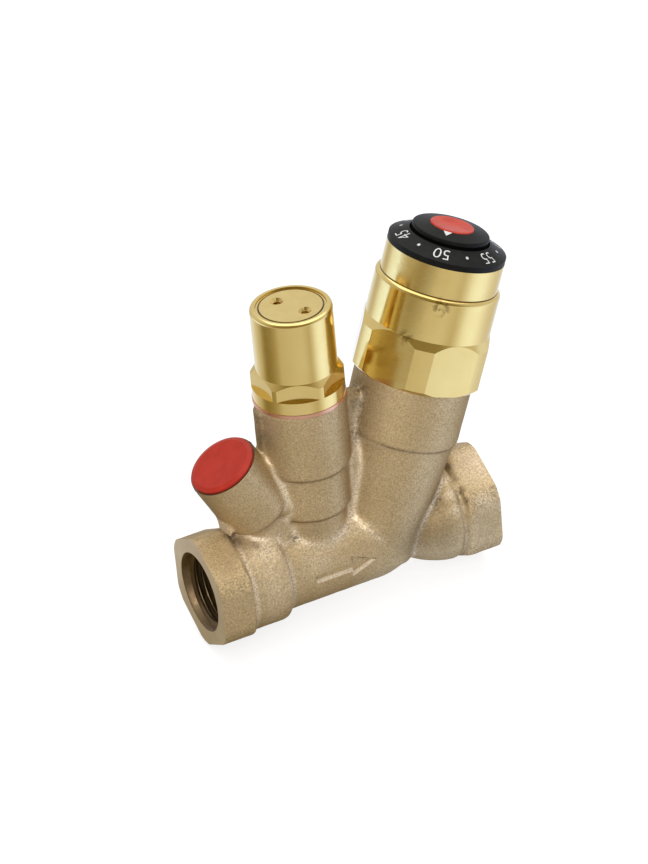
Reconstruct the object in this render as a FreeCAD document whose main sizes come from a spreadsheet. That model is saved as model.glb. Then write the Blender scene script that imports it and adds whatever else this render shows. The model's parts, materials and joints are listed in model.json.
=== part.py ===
import FreeCAD, Part
import os
import re
import Sketcher

# Thermostatic circulation valve with threaded ends.
# X runs along the pipe from the inlet face to the outlet face, and Z points up in the plane of the necks.
# Three necks grow out of the run: a leaning drain boss, an upright bypass neck and a leaning setting neck.
# Each neck has a frame of its own: its foot lies on the pipe axis and its own Z runs up the neck.

doc = FreeCAD.newDocument("CirculationValve")

# Driving sizes in millimetres and degrees
SIZES = {
    # Run of the casting
    "face_to_face": 85.1,
    "hex_flats": 30.0,
    "hex_length": 9.3,
    "hex_corner_bevel": 1.0,
    "collar_radius": 14.6,
    "collar_length": 12.5,
    "run_radius": 12.65,
    "run_bend_length": 10.0,
    "crease_offset": 7.3,
    "crease_radius": 9.8,
    "swell_radius": 14.9,
    "port_radius": 10.48,
    "port_depth": 14.0,
    "port_chamfer": 0.8,
    "passage_radius": 8.0,
    "inlet_stop": 6.0,
    "outlet_start": 9.0,
    # Bypass neck of the casting
    "bypass_neck_x": 34.8,
    "bypass_foot_radius": 10.0,
    "bypass_waist_radius": 11.3,
    "bypass_neck_radius": 12.3,
    "bypass_low_step": 16.4,
    "bypass_high_step": 29.9,
    "bypass_neck_top": 50.3,
    "bypass_seat_height": 20.0,
    "bypass_hole_radius": 4.0,
    "bypass_chamber_radius": 8.6,
    "bypass_thread_radius": 9.7,
    "bypass_thread_depth": 10.0,
    "channel_rise": 6.0,
    "channel_radius": 1.4,
    # Setting neck of the casting
    "setting_neck_x": 53.0,
    "setting_neck_tilt": 19.7,
    "setting_foot_depth": 5.0,
    "setting_foot_radius": 11.9,
    "setting_taper_radius": 15.3,
    "setting_neck_radius": 16.06,
    "setting_top_radius": 16.2,
    "setting_step": 31.3,
    "setting_neck_top": 48.7,
    "seat_height": 6.0,
    "seat_radius": 5.5,
    "seat_depth": 13.0,
    "low_chamber_radius": 10.0,
    "low_chamber_height": 8.0,
    "chamber_radius": 10.8,
    "bonnet_thread_radius": 13.5,
    "bonnet_thread_depth": 10.4,
    # Drain boss of the casting
    "drain_x": 29.4,
    "drain_tilt": 27.2,
    "drain_radius": 9.7,
    "drain_root_radius": 7.0,
    "drain_foot": 21.4,
    "drain_top": 40.9,
    "drain_bore_radius": 6.2,
    "drain_bore_depth": 14.0,
    "drain_hole_radius": 3.2,
    # Webs between the necks
    "web_thickness": 4.2,
    "web_drop": 1.8,
    "rib_drop": 0.6,
    "rib_lip": 0.8,
    "drain_gusset_root_width": 12.4,
    "drain_gusset_foot": 20.5,
    "drain_gusset_foot_width": 15.4,
    "drain_gusset_top_width": 8.2,
    "setting_gusset_width": 11.6,
    "setting_gusset_bend": 27.0,
    "setting_gusset_top": 38.0,
    # Fits
    "running_gap": 0.08,
    "seating_gap": 0.05,
    # Setting bonnet and what stands on it
    "bonnet_flats": 34.4,
    "bonnet_flats_turn": 59.5,
    "bonnet_flats_height": 14.9,
    "bonnet_body_radius": 18.5,
    "bonnet_foot_bevel": 1.0,
    "bonnet_top_bevel": 2.2,
    "bonnet_drum_radius": 17.15,
    "bonnet_drum_height": 12.3,
    "bonnet_rim_round": 1.2,
    "deck_thickness": 10.6,
    "guide_radius": 9.4,
    "key_width": 3.0,
    "key_radius": 10.7,
    "seal_wire_radius": 0.75,
    "sleeve_radius": 16.1,
    "sleeve_wall": 2.2,
    "sleeve_height": 8.3,
    "sleeve_spigot_height": 4.5,
    "sleeve_spigot_wall": 2.6,
    # Dial
    "scale_rim_radius": 16.05,
    "scale_rim_height": 1.6,
    "scale_cone_height": 2.5,
    "scale_bore_radius": 11.0,
    "scale_skirt_depth": 3.5,
    "scale_skirt_wall": 1.9,
    "hub_radius": 10.55,
    "hub_rise": 1.9,
    "hub_skirt_height": 4.5,
    "hub_edge_round": 0.6,
    "hub_crown": 0.8,
    "hub_recess_depth": 3.4,
    "hub_boss_radius": 5.8,
    "hub_boss_height": 7.0,
    "hub_cap_radius": 6.0,
    "hub_cap_stand": 0.3,
    "hub_cap_height": 2.9,
    "hub_cap_dish": 0.35,
    "hub_cap_wall": 0.9,
    # Spindle and setting nut
    "spindle_radius": 4.5,
    "spindle_thread_radius": 4.0,
    "spindle_collar_radius": 6.0,
    "spindle_collar_height": 2.4,
    "spindle_square": 5.2,
    "spindle_groove_radius": 3.3,
    "spindle_seal_wire": 0.6,
    "spindle_seal_pitch": 3.8,
    "spindle_clip_radius": 5.9,
    "clip_thickness": 0.8,
    "screw_radius": 1.5,
    "screw_length": 8.0,
    "screw_head_radius": 2.7,
    "screw_head_height": 1.5,
    "screw_washer_radius": 4.2,
    "screw_washer_height": 0.5,
    "nut_headroom": 1.6,
    "nut_length": 19.5,
    "nut_thread_length": 7.0,
    "nut_cavity_radius": 6.6,
    "nut_clip_lip": 0.7,
    "cup_height": 2.0,
    "overtravel_wire": 0.6,
    "overtravel_turns": 4.0,
    # Thermal element and main cone
    "setting_drop": 0.5,
    "element_stroke": 2.0,
    "cone_radius": 8.8,
    "cone_height": 5.0,
    "cone_seal_height": 1.5,
    "cone_seal_inner": 4.0,
    "cone_seal_outer": 8.2,
    "element_radius": 6.5,
    "element_height": 13.4,
    "element_collar_radius": 9.0,
    "element_collar_height": 3.0,
    "element_guide_radius": 4.5,
    "element_guide_height": 7.0,
    "pin_radius": 1.5,
    "pin_depth": 4.0,
    "cage_height": 1.2,
    "cage_bore_gap": 0.4,
    "cage_hole_radius": 0.9,
    "return_wire": 0.6,
    "return_turns": 4.0,
    # Bypass bonnet and its cartridge
    "gasket_thickness": 1.0,
    "gasket_radius": 12.6,
    "bypass_flange_radius": 12.45,
    "bypass_flange_height": 3.6,
    "bypass_flats": 22.2,
    "bypass_flats_turn": 34.0,
    "bypass_flats_height": 3.3,
    "bypass_cone_height": 1.5,
    "bypass_barrel_radius": 11.0,
    "bypass_barrel_height": 18.1,
    "bypass_rim_round": 1.0,
    "bypass_bore_radius": 7.8,
    "disc_radius": 9.4,
    "disc_height": 3.9,
    "disc_sink": 0.3,
    "disc_groove_width": 1.0,
    "disc_groove_depth": 1.2,
    "spanner_hole_radius": 1.0,
    "spanner_mouth_radius": 1.8,
    "spanner_mouth_depth": 0.8,
    "spanner_hole_circle": 4.7,
    "spanner_hole_depth": 2.4,
    "spanner_hole_turn": 115.0,
    "plug_radius": 6.2,
    "plug_height": 4.0,
    "plug_seal_height": 1.3,
    "plug_seal_inner": 2.6,
    "plug_seal_outer": 5.8,
    "plug_stem_radius": 2.5,
    "plug_stem_height": 4.0,
    "capsule_radius": 5.0,
    "capsule_height": 18.0,
    "capsule_collar_height": 2.0,
    "capsule_guide_radius": 3.0,
    "capsule_guide_height": 10.0,
    "bypass_wire": 0.7,
    "bypass_turns": 6.0,
    # Drain cap
    "drain_cap_radius": 9.25,
    "drain_cap_height": 1.1,
    "drain_cap_bevel": 0.5,
    "drain_cap_bevel_width": 1.2,
    "drain_cap_dish": 0.2,
    "drain_stem_length": 7.0,
    "drain_stem_wall": 1.4,
}

sheet = doc.addObject("Spreadsheet::Sheet", "Sizes")
for row, (size_name, size_value) in enumerate(SIZES.items(), start=1):
    sheet.set(f"A{row}", size_name)
    sheet.set(f"B{row}", str(size_value))
    sheet.setAlias(f"B{row}", size_name)
doc.recompute()

# Places that several parts share, as formulas of the sizes
OUTLET_HEX = "(face_to_face - hex_length)"
COLLAR_END = "(hex_length + collar_length)"
CREASE = "(setting_neck_x + crease_offset)"
SPIGOT_END = "(setting_neck_top - bonnet_thread_depth + seal_wire_radius)"
DRUM_FOOT = "(setting_neck_top + bonnet_flats_height)"
BONNET_TOP = f"({DRUM_FOOT} + bonnet_drum_height)"
DECK = f"({BONNET_TOP} - deck_thickness)"
SLEEVE_TOP = f"({BONNET_TOP} + sleeve_height)"
SLEEVE_BORE = "(sleeve_radius - sleeve_wall)"
SCALE_TOP = f"({SLEEVE_TOP} + scale_rim_height + scale_cone_height)"
HUB_EDGE = f"({SCALE_TOP} + hub_rise)"
HUB_TOP = f"({HUB_EDGE} + hub_crown)"
HUB_FLOOR = f"({HUB_TOP} - hub_recess_depth)"
HUB_FOOT = f"({HUB_EDGE} - hub_skirt_height - hub_boss_height)"
COLLAR_FOOT = f"({DECK} - seating_gap - spindle_collar_height)"
CLIP_FOOT = f"({BONNET_TOP} + 2 * seating_gap)"
NUT_TOP = f"({COLLAR_FOOT} - nut_headroom)"
NUT_FOOT = f"({NUT_TOP} - nut_length)"
NUT_CEILING = f"({NUT_TOP} - nut_thread_length)"
CUP_FOOT = f"({NUT_FOOT} + nut_clip_lip + clip_thickness)"
CAGE_FOOT = "(seat_height + low_chamber_height)"
CONE_FOOT = "(seat_height + setting_drop + element_stroke + seating_gap)"
ELEMENT_FOOT = f"({CONE_FOOT} + cone_height)"
COLLAR_UNDER = f"({ELEMENT_FOOT} + element_height)"
GUIDE_FOOT = f"({COLLAR_UNDER} + element_collar_height)"
GUIDE_TOP = f"({GUIDE_FOOT} + element_guide_height)"
GASKET_TOP = "(bypass_neck_top + gasket_thickness)"
FLATS_FOOT = f"({GASKET_TOP} + bypass_flange_height)"
SHOULDER = f"({FLATS_FOOT} + bypass_flats_height)"
BARREL_FOOT = f"({SHOULDER} + bypass_cone_height)"
BYPASS_TOP = f"({BARREL_FOOT} + bypass_barrel_height)"
DISC_FOOT = f"({BYPASS_TOP} - disc_sink - disc_height)"
BYPASS_SPIGOT_END = f"({GASKET_TOP} - bypass_thread_depth)"
PLUG_FOOT = "(bypass_seat_height + seating_gap)"
CAPSULE_FOOT = f"({PLUG_FOOT} + plug_height + plug_stem_height)"
CAPSULE_COLLAR = f"({CAPSULE_FOOT} + capsule_height)"
SPRING_FOOT = f"({CAPSULE_COLLAR} + capsule_collar_height)"

# Each neck's foot on the pipe axis and its lean towards the outlet, and the spanner hole's place in its disc
FRAMES = {
    "run": ("0", "0"),
    "bypass": ("bypass_neck_x", "0"),
    "setting": ("setting_neck_x", "setting_neck_tilt"),
    "drain": ("drain_x", "-drain_tilt"),
    "spanner_hole": ("spanner_hole_circle", "0"),
}


def bound(formula):
    """Writes a formula of sizes as an expression on the sheet's cells."""
    return re.sub(r"[a-z_]+", lambda word: "Sizes." + word[0] if word[0] in SIZES else word[0], formula)


def number(formula):
    """Gives a formula's value now, which starts a sketch near its solution."""
    return float(sheet.evalExpression(bound(formula)))


def tie(item, path, formula):
    """Binds one property of a document object to a formula of sizes."""
    item.setExpression(path, bound(formula))


def new_body(label, frame):
    """Starts a sub-part in the frame of its neck."""
    body = doc.addObject("PartDesign::Body", label)
    body.Label = label
    foot, lean = FRAMES[frame]
    body.Placement = FreeCAD.Placement(FreeCAD.Vector(), FreeCAD.Rotation(FreeCAD.Vector(0, 1, 0), 1))
    tie(body, ".Placement.Base.x", foot)
    tie(body, ".Placement.Rotation.Angle", lean)
    return body


def new_sketch(body, name, role, shift=("0", "0", "0"), turn="0"):
    """Attaches a sketch to one of its own body's origin planes."""
    sketch = body.newObject("Sketcher::SketchObject", name)
    plane = next(item for item in body.Origin.OriginFeatures if item.Role == role)
    sketch.AttachmentSupport = [(plane, "")]
    sketch.MapMode = "FlatFace"
    sketch.AttachmentOffset = FreeCAD.Placement(FreeCAD.Vector(), FreeCAD.Rotation(FreeCAD.Vector(0, 0, 1), 1))
    for axis, formula in zip("xyz", shift):
        tie(sketch, f".AttachmentOffset.Base.{axis}", formula)
    tie(sketch, ".AttachmentOffset.Rotation.Angle", turn)
    return sketch


def dimension(sketch, kind, where, formula):
    """Adds one driving dimension whose value follows a formula of sizes."""
    index = sketch.addConstraint(Sketcher.Constraint(kind, *where, number(formula)))
    sketch.setExpression(f"Constraints[{index}]", bound(formula))


def pin_point(sketch, edge, end, point):
    """Places a point of the sketch by its distances from the sketch's origin."""
    for kind, axis, formula in (("DistanceX", -2, point[0]), ("DistanceY", -1, point[1])):
        if formula == "0":
            sketch.addConstraint(Sketcher.Constraint("PointOnObject", edge, end, axis))
        else:
            dimension(sketch, kind, (-1, 1, edge, end), formula)


def arc_between(start, finish, radius, turn):
    """Gives the short arc that leaves start turning left or right."""
    chord = finish - start
    left = FreeCAD.Vector(-chord.y, chord.x, 0).normalize()
    reach = max(radius ** 2 - chord.Length ** 2 / 4, 0) ** 0.5
    side = 1 if turn == "left" else -1
    centre = (start + finish) * 0.5 + left * reach * side
    middle = centre - left * radius * side
    return Part.Arc(start, middle, finish)


def draw_outline(sketch, corners):
    """Draws a closed outline. A corner with a radius and a turn starts an arc, any other starts a line."""
    points = [FreeCAD.Vector(number(corner[0]), number(corner[1]), 0) for corner in corners]
    first = sketch.GeometryCount
    ends = []
    for index, corner in enumerate(corners):
        start = points[index]
        finish = points[(index + 1) % len(points)]
        if len(corner) > 2:
            sketch.addGeometry(arc_between(start, finish, number(corner[2]), corner[3]), False)
            ends.append((1, 2) if corner[3] == "left" else (2, 1))
        else:
            sketch.addGeometry(Part.LineSegment(start, finish), False)
            ends.append((1, 2))
    for index, corner in enumerate(corners):
        following = (index + 1) % len(corners)
        here = first + index
        there = first + following
        sketch.addConstraint(Sketcher.Constraint("Coincident", here, ends[index][1], there, ends[following][0]))
        pin_point(sketch, here, ends[index][0], corner)
        if len(corner) > 2:
            dimension(sketch, "Radius", (here,), corner[2])


def draw_circle(sketch, centre, radius):
    """Draws a full circle."""
    middle = FreeCAD.Vector(number(centre[0]), number(centre[1]), 0)
    sketch.addGeometry(Part.Circle(middle, FreeCAD.Vector(0, 0, 1), number(radius)), False)
    edge = sketch.GeometryCount - 1
    pin_point(sketch, edge, 3, centre)
    dimension(sketch, "Radius", (edge,), radius)


def rectangle(low, high):
    """Gives the corners of a rectangle from its lowest to its highest corner."""
    return [low, (high[0], low[1]), high, (low[0], high[1])]


def hexagon(flats, turn):
    """Gives the corners of a hexagon, the first one turned from the sketch's first axis."""
    reach = f"{flats} / sqrt(3)"
    return [(f"{reach} * cos({turn} + {angle})", f"{reach} * sin({turn} + {angle})") for angle in range(0, 360, 60)]


def turned(body, name, corners, cut=False, frame="run", along="V_Axis", height="0"):
    """Turns an outline around an axis of its sketch, as new material or as a cut."""
    foot, lean = FRAMES[frame]
    sketch = new_sketch(body, name + "_profile", "XZ_Plane", (foot, height, "0"), f"-({lean})")
    draw_outline(sketch, corners)
    kind = "PartDesign::Groove" if cut else "PartDesign::Revolution"
    feature = body.newObject(kind, name)
    feature.Profile = sketch
    feature.ReferenceAxis = (sketch, [along])
    feature.Angle = 360
    return feature


def extruded(body, name, sketch, length, cut=False, both=False):
    """Pads or cuts a sketch along its own normal."""
    feature = body.newObject("PartDesign::Pocket" if cut else "PartDesign::Pad", name)
    feature.Profile = sketch
    feature.Reversed = cut
    if both:
        feature.SideType = "Symmetric"
    tie(feature, "Length", length)
    return feature


def gusset(body, name, start, length, widths):
    """Pads a cross-section along the run, given by its widths at rising heights."""
    sketch = new_sketch(body, name + "_outline", "YZ_Plane", ("0", "0", start))
    right = [(f"{width} / 2", height) for width, height in widths]
    left = [(f"-{width} / 2", height) for width, height in reversed(widths)]
    draw_outline(sketch, right + left)
    extruded(body, name, sketch, length)


def ring(label, frame, inner, outer, foot, top):
    """Makes a plain turned ring."""
    body = new_body(label, frame)
    turned(body, label + "_turning", rectangle((inner, foot), (outer, top)))
    return body


def seal_rings(label, frame, centre_radius, wire, height, copies=1, pitch="0"):
    """Makes round-section seal rings one above the other."""
    body = new_body(label, frame)
    sketch = new_sketch(body, label + "_section", "XZ_Plane")
    for index in range(copies):
        draw_circle(sketch, (centre_radius, f"{height} + {index} * {pitch}"), wire)
    feature = body.newObject("PartDesign::Revolution", label + "_turning")
    feature.Profile = sketch
    feature.ReferenceAxis = (sketch, ["V_Axis"])
    feature.Angle = 360


def spring(label, frame, mean_radius, wire, foot, top, turns):
    """Winds a compression spring between two seats."""
    body = new_body(label, frame)
    sketch = new_sketch(body, label + "_wire", "XZ_Plane")
    draw_circle(sketch, (mean_radius, f"{foot} + {wire} + seating_gap"), wire)
    coil = body.newObject("PartDesign::AdditiveHelix", label + "_coil")
    coil.Profile = sketch
    coil.ReferenceAxis = (sketch, ["V_Axis"])
    coil.Mode = "height-turns-angle"
    tie(coil, "Height", f"({top}) - ({foot}) - 2 * {wire} - 2 * seating_gap")
    tie(coil, "Turns", turns)


def valve_casting():
    """The bronze casting: run, ends, necks and webs first, then every bore."""
    body = new_body("valve_body", "run")
    # The run, from the inlet collar to the swell before the outlet hexagon
    turned(body, "run", [
        ("hex_length / 2", "0"),
        ("hex_length / 2", "collar_radius"),
        (f"{COLLAR_END} - (collar_radius - run_radius)", "collar_radius",
         "collar_radius - run_radius", "right"),
        (COLLAR_END, "run_radius"),
        (f"{CREASE} - run_bend_length", "run_radius",
         "(run_bend_length^2 + (run_radius - crease_radius)^2) / (2 * (run_radius - crease_radius))", "right"),
        (CREASE, "crease_radius",
         f"(({OUTLET_HEX} - {CREASE})^2 + (swell_radius - crease_radius)^2) / (2 * (swell_radius - crease_radius))",
         "right"),
        (OUTLET_HEX, "swell_radius"),
        ("face_to_face - hex_length / 2", "swell_radius"),
        ("face_to_face - hex_length / 2", "0"),
    ], along="H_Axis")
    # Hexagon ends with one corner up
    for name, start in (("inlet_hex", "0"), ("outlet_hex", OUTLET_HEX)):
        sketch = new_sketch(body, name + "_outline", "YZ_Plane", ("0", "0", start))
        draw_outline(sketch, hexagon("hex_flats", "30"))
        extruded(body, name, sketch, "hex_length")
    # Bypass neck with two rounded steps
    turned(body, "bypass_neck", [
        ("0", "0"),
        ("bypass_foot_radius", "0"),
        ("bypass_foot_radius", "bypass_low_step", "bypass_waist_radius - bypass_foot_radius", "left"),
        ("bypass_waist_radius", "bypass_low_step + bypass_waist_radius - bypass_foot_radius"),
        ("bypass_waist_radius", "bypass_high_step", "bypass_neck_radius - bypass_waist_radius", "left"),
        ("bypass_neck_radius", "bypass_high_step + bypass_neck_radius - bypass_waist_radius"),
        ("bypass_neck_radius", "bypass_neck_top"),
        ("0", "bypass_neck_top"),
    ], frame="bypass")
    # Setting neck, tapered below its step
    turned(body, "setting_neck", [
        ("0", "-setting_foot_depth"),
        ("setting_foot_radius", "-setting_foot_depth"),
        ("setting_taper_radius", "setting_step", "setting_neck_radius - setting_taper_radius", "left"),
        ("setting_neck_radius", "setting_step + setting_neck_radius - setting_taper_radius"),
        ("setting_top_radius", "setting_neck_top"),
        ("0", "setting_neck_top"),
    ], frame="setting")
    # Drain boss on a thinner root, with a rounded foot between them
    turned(body, "drain_boss", [
        ("0", "0"),
        ("drain_root_radius", "0"),
        ("drain_root_radius", "drain_foot", "drain_radius - drain_root_radius", "left"),
        ("drain_radius", "drain_foot + drain_radius - drain_root_radius"),
        ("drain_radius", "drain_top"),
        ("0", "drain_top"),
    ], frame="drain")
    # Thin webs in the plane of the necks, the first with a rib up the bypass neck
    web_top = "(bypass_neck_top - web_drop)"
    rib_top = "(bypass_neck_top - rib_drop)"
    rib = "bypass_neck_x - bypass_neck_radius - rib_lip"
    drain_web = "(drain_top - web_drop)"
    drain_web_top = f"({drain_web} * cos(drain_tilt))"
    setting_web = "(setting_neck_top - web_drop)"
    webs = new_sketch(body, "drain_web_outline", "XZ_Plane")
    draw_outline(webs, [
        ("drain_x", "0"),
        (f"drain_x - {drain_web} * sin(drain_tilt)", drain_web_top),
        (rib, f"{drain_web_top} + rib_lip"),
        (rib, rib_top),
        ("bypass_neck_x", rib_top),
        ("bypass_neck_x", "0"),
    ])
    extruded(body, "drain_web", webs, "web_thickness", both=True)
    webs = new_sketch(body, "setting_web_outline", "XZ_Plane")
    draw_outline(webs, [
        ("bypass_neck_x", "0"),
        ("bypass_neck_x", web_top),
        (f"setting_neck_x + {setting_web} * sin(setting_neck_tilt)", f"{setting_web} * cos(setting_neck_tilt)"),
        ("setting_neck_x", "0"),
    ])
    extruded(body, "setting_web", webs, "web_thickness", both=True)
    # Gussets that thicken the webs low down, given by their widths at a few heights
    gusset_start = f"(drain_x - {drain_web} * sin(drain_tilt) / 2)"
    gusset(body, "drain_gusset", gusset_start, f"bypass_neck_x - {gusset_start}", [
        ("drain_gusset_root_width", "0"),
        ("drain_gusset_root_width", "drain_gusset_foot - web_drop"),
        ("drain_gusset_foot_width", "drain_gusset_foot"),
        ("drain_gusset_top_width", drain_web_top),
    ])
    gusset(body, "setting_gusset", "bypass_neck_x", "setting_neck_x - bypass_neck_x", [
        ("setting_gusset_width", "0"),
        ("setting_gusset_width", "setting_gusset_bend"),
        ("web_thickness", "setting_gusset_top"),
    ])
    # Bevelled corners on the two end faces
    corner = "(hex_flats / sqrt(3))"
    for name, face, inward in (("inlet_bevel", "0", "+"), ("outlet_bevel", "face_to_face", "-")):
        turned(body, name, [
            (face, f"{corner} - hex_corner_bevel"),
            (face, f"{corner} + hex_corner_bevel"),
            (f"{face} {inward} 2 * hex_corner_bevel * tan(30)", f"{corner} + hex_corner_bevel"),
        ], cut=True, along="H_Axis")
    # Water passages along the run
    inlet_end = "setting_neck_x - inlet_stop"
    outlet_end = "setting_neck_x + outlet_start"
    turned(body, "inlet_passage", rectangle(("0", "0"), (inlet_end, "passage_radius")), cut=True, along="H_Axis")
    turned(body, "outlet_passage", rectangle((outlet_end, "0"), ("face_to_face", "passage_radius")),
           cut=True, along="H_Axis")
    # Threaded ports, with the wall at the thread's outer radius
    for name, face, inward in (("inlet_port", "0", "+"), ("outlet_port", "face_to_face", "-")):
        turned(body, name, [
            (face, "0"),
            (face, "port_radius + port_chamfer"),
            (f"{face} {inward} port_chamfer", "port_radius"),
            (f"{face} {inward} port_depth", "port_radius"),
            (f"{face} {inward} (port_depth + (port_radius - passage_radius) * tan(30))", "passage_radius"),
            (f"{face} {inward} (port_depth + (port_radius - passage_radius) * tan(30))", "0"),
        ], cut=True, along="H_Axis")
    # Setting neck's seat, chambers and bonnet thread
    thread_end = "(setting_neck_top - bonnet_thread_depth)"
    turned(body, "setting_bore", [
        ("0", "seat_height - seat_depth"),
        ("seat_radius", "seat_height - seat_depth"),
        ("seat_radius", "seat_height"),
        ("low_chamber_radius", "seat_height"),
        ("low_chamber_radius", CAGE_FOOT),
        ("chamber_radius", CAGE_FOOT),
        ("chamber_radius", f"{thread_end} - (bonnet_thread_radius - chamber_radius)"),
        ("bonnet_thread_radius", thread_end),
        ("bonnet_thread_radius", "setting_neck_top"),
        ("0", "setting_neck_top"),
    ], cut=True, frame="setting")
    # Bypass neck's seat, chamber and bonnet thread
    thread_end = f"({BYPASS_SPIGOT_END} - seating_gap)"
    turned(body, "bypass_bore", [
        ("0", "0"),
        ("bypass_hole_radius", "0"),
        ("bypass_hole_radius", "bypass_seat_height"),
        ("bypass_chamber_radius", "bypass_seat_height"),
        ("bypass_chamber_radius", f"{thread_end} - (bypass_thread_radius - bypass_chamber_radius)"),
        ("bypass_thread_radius", thread_end),
        ("bypass_thread_radius", "bypass_neck_top"),
        ("0", "bypass_neck_top"),
    ], cut=True, frame="bypass")
    # Channel from the bypass chamber into the setting chamber
    channel = "(bypass_seat_height + channel_rise)"
    reach = f"setting_neck_x + {channel} * tan(setting_neck_tilt) - bypass_neck_x"
    turned(body, "bypass_channel", rectangle(("0", "0"), (reach, "channel_radius")),
           cut=True, frame="bypass", along="H_Axis", height=channel)
    # Drain hole and its threaded mouth
    turned(body, "drain_bore", [
        ("0", "0"),
        ("drain_hole_radius", "0"),
        ("drain_hole_radius", "drain_top - drain_bore_depth"),
        ("drain_bore_radius", "drain_top - drain_bore_depth"),
        ("drain_bore_radius", "drain_top"),
        ("0", "drain_top"),
    ], cut=True, frame="drain")


def setting_bonnet():
    """The brass bonnet: round body with six milled flats, drum, screwed spigot below and sleeve spigot above."""
    body = new_body("setting_bonnet", "setting")
    turned(body, "bonnet_turning", [
        ("0", "setting_neck_top"),
        ("bonnet_body_radius - bonnet_foot_bevel", "setting_neck_top"),
        ("bonnet_body_radius", "setting_neck_top + bonnet_foot_bevel"),
        ("bonnet_body_radius", f"{DRUM_FOOT} - bonnet_top_bevel"),
        ("bonnet_drum_radius", DRUM_FOOT),
        ("bonnet_drum_radius", f"{BONNET_TOP} - bonnet_rim_round", "bonnet_rim_round", "left"),
        ("bonnet_drum_radius - bonnet_rim_round", BONNET_TOP),
        (f"{SLEEVE_BORE} - seating_gap", BONNET_TOP),
        (f"{SLEEVE_BORE} - seating_gap", f"{BONNET_TOP} + sleeve_spigot_height"),
        ("0", f"{BONNET_TOP} + sleeve_spigot_height"),
    ])
    sketch = new_sketch(body, "bonnet_flats_outline", "XY_Plane", ("0", "0", "setting_neck_top"))
    draw_outline(sketch, hexagon("bonnet_flats", "bonnet_flats_turn"))
    draw_circle(sketch, ("0", "0"), "bonnet_body_radius + bonnet_flats / 2")
    extruded(body, "bonnet_flats_cut", sketch, "bonnet_flats_height", cut=True)
    groove = "(bonnet_thread_radius - 2 * seal_wire_radius - 2 * seating_gap)"
    groove_height = "(2 * seal_wire_radius + 2 * seating_gap)"
    turned(body, "bonnet_spigot", [
        ("0", SPIGOT_END),
        ("bonnet_thread_radius - seating_gap", SPIGOT_END),
        ("bonnet_thread_radius - seating_gap", f"setting_neck_top - {groove_height}"),
        (groove, f"setting_neck_top - {groove_height}"),
        (groove, "setting_neck_top + seating_gap"),
        ("0", "setting_neck_top + seating_gap"),
    ])
    turned(body, "bonnet_bore", [
        ("0", SPIGOT_END),
        ("guide_radius", SPIGOT_END),
        ("guide_radius", DECK),
        ("spindle_radius + running_gap", DECK),
        ("spindle_radius + running_gap", BONNET_TOP),
        (f"{SLEEVE_BORE} - seating_gap - sleeve_spigot_wall", BONNET_TOP),
        (f"{SLEEVE_BORE} - seating_gap - sleeve_spigot_wall", f"{BONNET_TOP} + sleeve_spigot_height"),
        ("0", f"{BONNET_TOP} + sleeve_spigot_height"),
    ], cut=True)
    sketch = new_sketch(body, "key_slots_outline", "XY_Plane", ("0", "0", SPIGOT_END))
    slot_reach = "(key_radius + running_gap)"
    slot_half = "(key_width / 2 + running_gap)"
    draw_outline(sketch, rectangle((f"-{slot_reach}", f"-{slot_half}"), (slot_reach, slot_half)))
    extruded(body, "key_slots", sketch, f"{DECK} - {SPIGOT_END}", cut=True)


def dial_pieces():
    """The sleeve, the scale ring, the pointer hub and the red cap in its middle."""
    ring("dial_sleeve", "setting", SLEEVE_BORE, "sleeve_radius", BONNET_TOP, SLEEVE_TOP)
    body = new_body("scale_ring", "setting")
    skirt = f"({SLEEVE_BORE} - seating_gap)"
    turned(body, "scale_turning", [
        ("scale_bore_radius", SLEEVE_TOP),
        (f"{skirt} - scale_skirt_wall", SLEEVE_TOP),
        (f"{skirt} - scale_skirt_wall", f"{SLEEVE_TOP} - scale_skirt_depth"),
        (skirt, f"{SLEEVE_TOP} - scale_skirt_depth"),
        (skirt, SLEEVE_TOP),
        ("scale_rim_radius", SLEEVE_TOP),
        ("scale_rim_radius", f"{SLEEVE_TOP} + scale_rim_height"),
        ("scale_bore_radius", SCALE_TOP),
    ])
    body = new_body("dial_hub", "setting")
    turned(body, "hub_turning", [
        ("0", HUB_FOOT),
        ("hub_boss_radius", HUB_FOOT),
        ("hub_boss_radius", f"{HUB_EDGE} - hub_skirt_height"),
        ("hub_radius", f"{HUB_EDGE} - hub_skirt_height"),
        ("hub_radius", f"{HUB_EDGE} - hub_edge_round", "hub_edge_round", "left"),
        ("hub_radius - hub_edge_round", HUB_EDGE),
        ("hub_cap_radius + running_gap", HUB_TOP),
        ("hub_cap_radius + running_gap", HUB_FLOOR),
        ("0", HUB_FLOOR),
    ])
    sketch = new_sketch(body, "hub_square_outline", "XY_Plane", ("0", "0", HUB_FOOT))
    half = "(spindle_square / 2 + seating_gap)"
    draw_outline(sketch, rectangle((f"-{half}", f"-{half}"), (half, half)))
    extruded(body, "hub_square", sketch, f"{HUB_FLOOR} - {HUB_FOOT}", cut=True)
    body = new_body("hub_cap", "setting")
    cap_top = f"({HUB_TOP} + hub_cap_stand)"
    turned(body, "hub_cap_turning", [
        ("0", f"{cap_top} - hub_cap_dish - hub_cap_wall"),
        ("hub_cap_radius - hub_cap_wall", f"{cap_top} - hub_cap_dish - hub_cap_wall"),
        ("hub_cap_radius - hub_cap_wall", f"{cap_top} - hub_cap_height"),
        ("hub_cap_radius", f"{cap_top} - hub_cap_height"),
        ("hub_cap_radius", f"{cap_top} - hub_cap_dish", "hub_cap_dish", "left"),
        ("hub_cap_radius - hub_cap_dish", cap_top),
        ("0", f"{cap_top} - hub_cap_dish"),
    ])


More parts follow.
